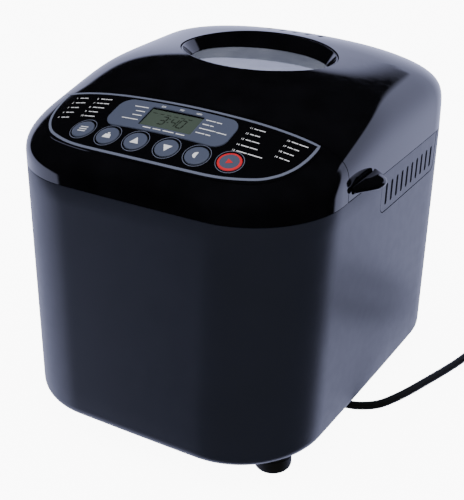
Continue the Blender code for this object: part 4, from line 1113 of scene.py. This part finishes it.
def makeTab(side, node):
    # a leaf-shaped lift tab: thin root in front, round end behind, with a ridge along it
    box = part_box(node)
    inner = min(abs(box[0][0]), abs(box[1][0]))
    reach = abs(box[1][0] - box[0][0])
    front, back = box[0][1], box[1][1]
    rows, widest = 40, 0.66
    low, high = box[0][2], box[1][2]
    section = ((0, -1), (0.55, -1), (0.85, -0.8), (0.97, -0.4), (1, 0), (0.97, 0.3), (0.82, 0.62),
               (0.45, 0.92), (0.3, 1), (0, 1))
    rings = []
    for row in range(rows + 1):
        t = row / rows
        y = front + (back - front) * t
        out = reach * (0.16 + 0.84 * math.sin(math.pi * min(1, t / widest) / 2) ** 1.6)
        if t > widest:
            out = reach * math.sqrt(max(0.0, 1 - ((t - widest) / 0.345) ** 2))
        out = max(out, 0.4 * mm)
        half = (high - low) / 2 * (0.55 + 0.45 * min(1, t / 0.5))
        middle = (low + high) / 2 + 0.4 * mm * t
        ring = []
        for u, v in section:
            z = min(max(middle + half * v, low), high)
            ring.append((side * (inner + out * u), y, z))
        rings.append(ring)
    tab = skinPiece("liftTab" + ("Right" if side > 0 else "Left"), rings, angle=50)
    withModifier(tab, "SUBSURF", levels=1, render_levels=1)
    smoothed(tab.data, 50)
    keepPiece(tab, "lid", finish["gloss"], node, slot="gloss_abs")


def trayRings(profile, halfX, halfY, radius):
    # profile of (grow, height): how far outside the inner outline and how high
    rings = []
    for grow, height in profile:
        outline = roundedOutline(halfX + grow * mm, halfY + grow * mm, radius + grow * mm, 0, 14, 6,
                                 (0, middleY))
        rings.append(atHeight(outline, height))
    return rings


tray = {"sideGap": 40 * mm, "flange": 10 * mm, "corner": 30 * mm}
chamberHalf = (halfWidth - tray["sideGap"], (chamberBox[1][1] - chamberBox[0][1]) / 2 - tray["flange"])


def makeLiner():
    profile = [(10, 5.2), (10, 4.0), (-1.2, 4.0), (-2, 4.6), (-7.5, 42), (-8.6, 44.6), (-11, 46)]
    rings = trayRings([(g, seam + h * mm) for g, h in profile], *chamberHalf, tray["corner"])
    across, along = lid["window"][0] - 10 * mm, lid["window"][1] - 8 * mm
    hole = roundedOutline(across, along, along, 0, 14, 6, (0, middleY))
    rings += [atHeight(hole, seam + 46 * mm), atHeight(hole, seam + 47.2 * mm)]
    back = [(-10.5, 47.2), (-7.6, 45.4), (-6.4, 42), (-0.8, 5.2)]
    rings += trayRings([(g, seam + h * mm) for g, h in back], *chamberHalf, tray["corner"])
    liner = skinPiece("lidLiner", rings, closed=True)
    keepPiece(liner, "lid", finish["aluminium"], "lid_liner", slot="aluminium")
    lips = [(9, 3.7), (9, 2.2), (8, 1.4), (6.5, 1.3), (5.5, 2.0), (4.5, 1.3), (3, 1.4), (1.7, 2.2),
            (1.7, 3.7)]
    rings = trayRings([(g, seam + h * mm) for g, h in lips], *chamberHalf, tray["corner"])
    seal = skinPiece("lidSeal", rings, closed=True)
    keepPiece(seal, "lid", finish["rubber"], "lid_gasket", slot="black_rubber")


makeLid()
makeWindow()
makeTab(1, "lid_tab_right")
makeTab(-1, "lid_tab_left")
makeLiner()
print("lid made")


# Oven chamber and pan

def makeDeck():
    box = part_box("top_deck")
    low, high = box[0][2], box[1][2]
    inset, play = 2.8 * mm, 1.3 * mm
    outer = roundedOutline(halfWidth - inset, halfDepth - inset, dome["cornerRadius"] - inset,
                           dome["bulge"], 14, 6)
    inner = roundedOutline(chamberHalf[0] + play, chamberHalf[1] + play, 31.3 * mm, 0, 14, 6, (0, middleY))
    rings = [atHeight(outer, low), atHeight(outer, high), atHeight(inner, high), atHeight(inner, low)]
    keepPiece(skinPiece("deck", rings, closed=True), "root", finish["black"], "top_deck", slot="black_plastic")


def makeChamber():
    low = chamberBox[0][2]
    under = ((-7, 0), (-3.6, 0.4), (-1.3, 1.7), (0.4, 4.6), (1, 8))
    brim = ((1, 0), (9.6, 0), (10, 0.45), (9.6, 0.9), (0.5, 0.9), (0, 0.4))
    inside = ((0, 8.2), (-0.6, 5.2), (-2.2, 2.7), (-4.2, 1.6), (-7.2, 1.2))
    profile = [(grow, start + rise * mm) for part, start in ((under, low), (brim, seam), (inside, low))
               for grow, rise in part]
    chamber = skinPiece("chamber", trayRings(profile, *chamberHalf, tray["corner"]))
    hole = turnedPiece("hole", ((11, -10), (11, 10)), (0, middleY, low), count=48)
    front = middleY - chamberHalf[1]
    heaterZ = centreOf(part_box("heating_element"))[2]
    legs = [turnedPiece("leg", ((4, -5), (4, 5)), (side * 14 * mm, front, heaterZ), (0, 1, 0), 24)
            for side in (-1, 1)]
    sensor = turnedPiece("sensor", ((3.4, -5), (3.4, 5)), (-chamberHalf[0], middleY, 140 * mm),
                         (1, 0, 0), 24)
    cutFrom(chamber, hole, *legs, sensor)
    keepPiece(chamber, "root", finish["aluminium"], "oven_chamber", slot="aluminium")


def makePan():
    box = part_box("bread_pan")
    low, top = box[0][2], box[1][2]
    halfX = chamberHalf[0] - 22 * mm
    halfY = chamberHalf[1] - 24 * mm

    def ring(height, grow):
        taper = 4 * mm * (top - height) / (top - low)
        outline = roundedOutline(halfX - taper + grow * mm, halfY - taper + grow * mm, (24 + grow) * mm,
                                 0, 14, 6, (0, middleY))
        return atHeight(outline, height)

    under = ((0, -8), (0.6, -4.6), (2, -2.2), (4.6, -0.7), (8, 0))
    brim = ((2, 0.8), (2, 2.6), (1.3, 3), (0.6, 3), (0, 2.4), (0, -0.6), (0.6, -1.2))
    inside = ((8.2, -1.2), (5, -1.9), (3.2, -3.6), (1.9, -6), (1.2, -9.2))
    rings = [ring(low + rise * mm, grow) for rise, grow in under]
    rings += [ring(low + 8 * mm + (top - low - 11 * mm) * i / 4, 0) for i in range(1, 5)]
    rings += [ring(top - drop * mm, grow) for drop, grow in brim]
    rings += [ring(low + rise * mm, grow) for rise, grow in inside]
    pan = skinPiece("pan", rings)
    handleZ = jointPlace["pan_handle_swing"]["pos_m"][2]
    ears, holes = [], []
    outline = [(-7, -8), (7, -8), (7, 1), (4, 7.6), (-4, 7.6), (-7, 1)]
    near, far = halfX - 0.8 * mm, halfX + 4.4 * mm
    for side in (-1, 1):
        ears.append(skinPiece("ear", [[(side * x, middleY + u * mm, handleZ + v * mm) for u, v in outline]
                                      for x in (near, far)]))
        holes.append(turnedPiece("hole", ((2.6, 0.6), (2.6, 9)), (side * halfX, middleY, handleZ),
                                 (side, 0, 0), 24))
    cutFrom(pan, *ears, operation="UNION")
    bush = turnedPiece("hole", ((8, -6), (8, 6)), (0, middleY, low), count=40)
    cutFrom(pan, bush, *holes)
    keepPiece(pan, "pan", finish["nonStick"], "bread_pan", slot="non_stick")


def makeHandle():
    # a bent wire bail with small end loops
    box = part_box("pan_handle")
    radius, bend, corner = 2.1, 5, 15
    arm = box[1][0] / mm - radius - 0.05
    handleZ = jointPlace["pan_handle_swing"]["pos_m"][2] / mm
    reach = middleY / mm - box[0][1] / mm - 2.2
    pin = arm - 7.8
    points = [(pin, 0), (arm - bend, 0)]
    points += [(arm - bend + bend * math.sin(a), -bend + bend * math.cos(a)) for a in quarterTurns(6)[1:]]
    points += [(arm, -reach * 0.4), (arm, -reach + 18)]
    points += [(arm - corner + corner * math.cos(a), -reach + corner - corner * math.sin(a))
               for a in quarterTurns(10)[1:]]
    points += [(arm * 0.4, -reach)]
    points += [(-x, y) for x, y in reversed(points)]
    places = [(x * mm, middleY + y * mm, handleZ * mm) for x, y in points]
    bail = finished(wirePiece("bail", places, radius * mm, 5))
    smoothed(bail.data, 50)
    keepPiece(bail, "pan_handle", finish["steel"], "pan_handle", slot="steel")


def makePaddle():
    # a cast hub that flows into one leaning blade
    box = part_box("kneading_paddle")
    low = box[0][2] / mm
    profile = ((4.3, 0), (9, 0), (9, 3), (8.6, 8), (8.1, 22), (7.4, 24), (6.2, 24.8), (4.3, 24.8))
    hub = turnedPiece("hub", [(radius, low + rise) for radius, rise in profile], (0, middleY, 0),
                      count=48, closed=True)
    reach = box[1][0] / mm
    rings = []
    for i in range(9):
        t = i / 8
        height = low + 20 * t
        half = 4 - 2.6 * t
        end = reach - 12 * t ** 1.6
        centre = 4 * t
        outline = [(6, centre - half), (end - half, centre - half), (end - half * 0.3, centre - half * 0.6),
                   (end, centre), (end - half * 0.3, centre + half * 0.6), (end - half, centre + half),
                   (6, centre + half)]
        rings.append([(u * mm, middleY + v * mm, height * mm) for u, v in outline])
    cutFrom(hub, skinPiece("blade", rings), operation="UNION")
    hub.name = "paddle"
    withModifier(hub, "BEVEL", width=0.6 * mm, segments=2, limit_method="ANGLE",
                 angle_limit=math.radians(40))
    smoothed(hub.data)
    keepPiece(hub, "paddle", finish["nonStick"], "kneading_paddle", slot="non_stick")


makeDeck()
makeChamber()
makePan()
makeHandle()
makePaddle()
print("chamber and pan made")


# Carried-over pieces keep their shape and take a real finish

carried = {
    "steel": ("temperature_sensor", "pan_socket", "chassis_plate", "motor_body", "motor_shaft",
              "motor_pulley", "hinge_rod", "pan_shaft", "drive_shaft", "drive_coupling"),
    "aluminium": ("bearing_housing", "pan_foot"),
    "bronze": ("shaft_bush", "pan_bush"),
    "rubber": ("drive_belt",),
    "black": ("rear_hinge_base", "lid_hinge_right", "lid_hinge_left", "drive_pulley", "motor_fan"),
    "board": ("power_board", "control_board"),
    "heater": ("heating_element",),
}
for key, nodes in carried.items():
    for node in nodes:
        data = frame["nodes"][node].data
        data.materials.clear()
        data.materials.append(finish[key])
print("carried pieces finished")


# Studio

studio = {"floorSize": 12.0, "floorGlow": 9.0, "wallSlope": 0.5, "wallGlow": 2.0,
          "lampPlace": (0.2, -0.5, 2.4), "lampAim": (0, 0, 0.1), "lampSize": (2.6, 2.2), "lampPower": 26}


def areaLight(name, place, aim, size, power):
    # a lamp that is seen neither itself nor in reflections
    data = bpy.data.lights.new(name, "AREA")
    data.shape = "RECTANGLE"
    data.size, data.size_y = size
    data.energy = power
    light = placed(name, data)
    light.location = place
    light.rotation_euler = (Vector(aim) - Vector(place)).to_track_quat("-Z", "Y").to_euler()
    light.visible_glossy = False
    light.visible_camera = False


def addMath(tree, operation, first, second):
    return addNode(tree, "ShaderNodeMath", {0: first, 1: second}, operation=operation).outputs[0]


def sceneryFor(tree):
    # what a reflection meets: dark all round, but for a pale lavender wall behind that rises to the right
    place = addNode(tree, "ShaderNodeTexCoord").outputs["Generated"]
    axes = addNode(tree, "ShaderNodeSeparateXYZ", {"Vector": place}).outputs
    right = addMath(tree, "MAXIMUM", axes["X"], 0.0)
    wallTop = addMath(tree, "MULTIPLY", addMath(tree, "ADD", axes["Y"], right), studio["wallSlope"])
    below = spread(tree, addMath(tree, "SUBTRACT", wallTop, axes["Z"]), 0, 1, -0.03, 0.03)
    behind = spread(tree, addMath(tree, "SUBTRACT", axes["Y"], axes["X"]), 0, 1, -0.05, 0.05)
    return addMath(tree, "MULTIPLY", below, behind)


def makeStudio():
    half = studio["floorSize"] / 2
    floor = meshPiece("floor", atHeight(boxOutline(-half, -half, half, half), 0), [(0, 1, 2, 3)])
    if floor.data.polygons[0].normal.z < 0:
        floor.data.flip_normals()
    # a stage floor that glows, so that it looks white; it is left out of reflections and bounced light
    material, tree, shader = newMaterial("litWhiteTable", Roughness=0.9)
    shader.inputs["Base Color"].default_value = linear("#f4f4f6")
    shader.inputs["Specular IOR Level"].default_value = 0.1
    shader.inputs["Emission Color"].default_value = linear("#ffffff")
    shader.inputs["Emission Strength"].default_value = studio["floorGlow"]
    floor.data.materials.append(material)
    floor.visible_glossy = False
    floor.visible_diffuse = False
    floor.visible_transmission = False
    world = bpy.data.worlds.new("studio")
    world.use_nodes = True
    tree = world.node_tree
    background = tree.nodes["Background"]
    rays = addNode(tree, "ShaderNodeLightPath").outputs
    wall = addNode(tree, "ShaderNodeMix", {"Factor": sceneryFor(tree)}, data_type="RGBA")
    wall.inputs["A"].default_value = linear("#0b0b0e")
    wall.inputs["B"].default_value = [part * studio["wallGlow"] for part in linear("#c6cbf2")[:3]] + [1.0]
    seen = addNode(tree, "ShaderNodeMix", {"Factor": rays["Is Glossy Ray"]}, data_type="RGBA")
    seen.inputs["A"].default_value = linear("#ffffff")
    tree.links.new(wall.outputs["Result"], seen.inputs["B"])
    tree.links.new(seen.outputs["Result"], background.inputs["Color"])
    background.inputs["Strength"].default_value = 1.0
    bpy.context.scene.world = world
    areaLight("topSoft", studio["lampPlace"], studio["lampAim"], studio["lampSize"], studio["lampPower"])


makeStudio()
print("studio set")
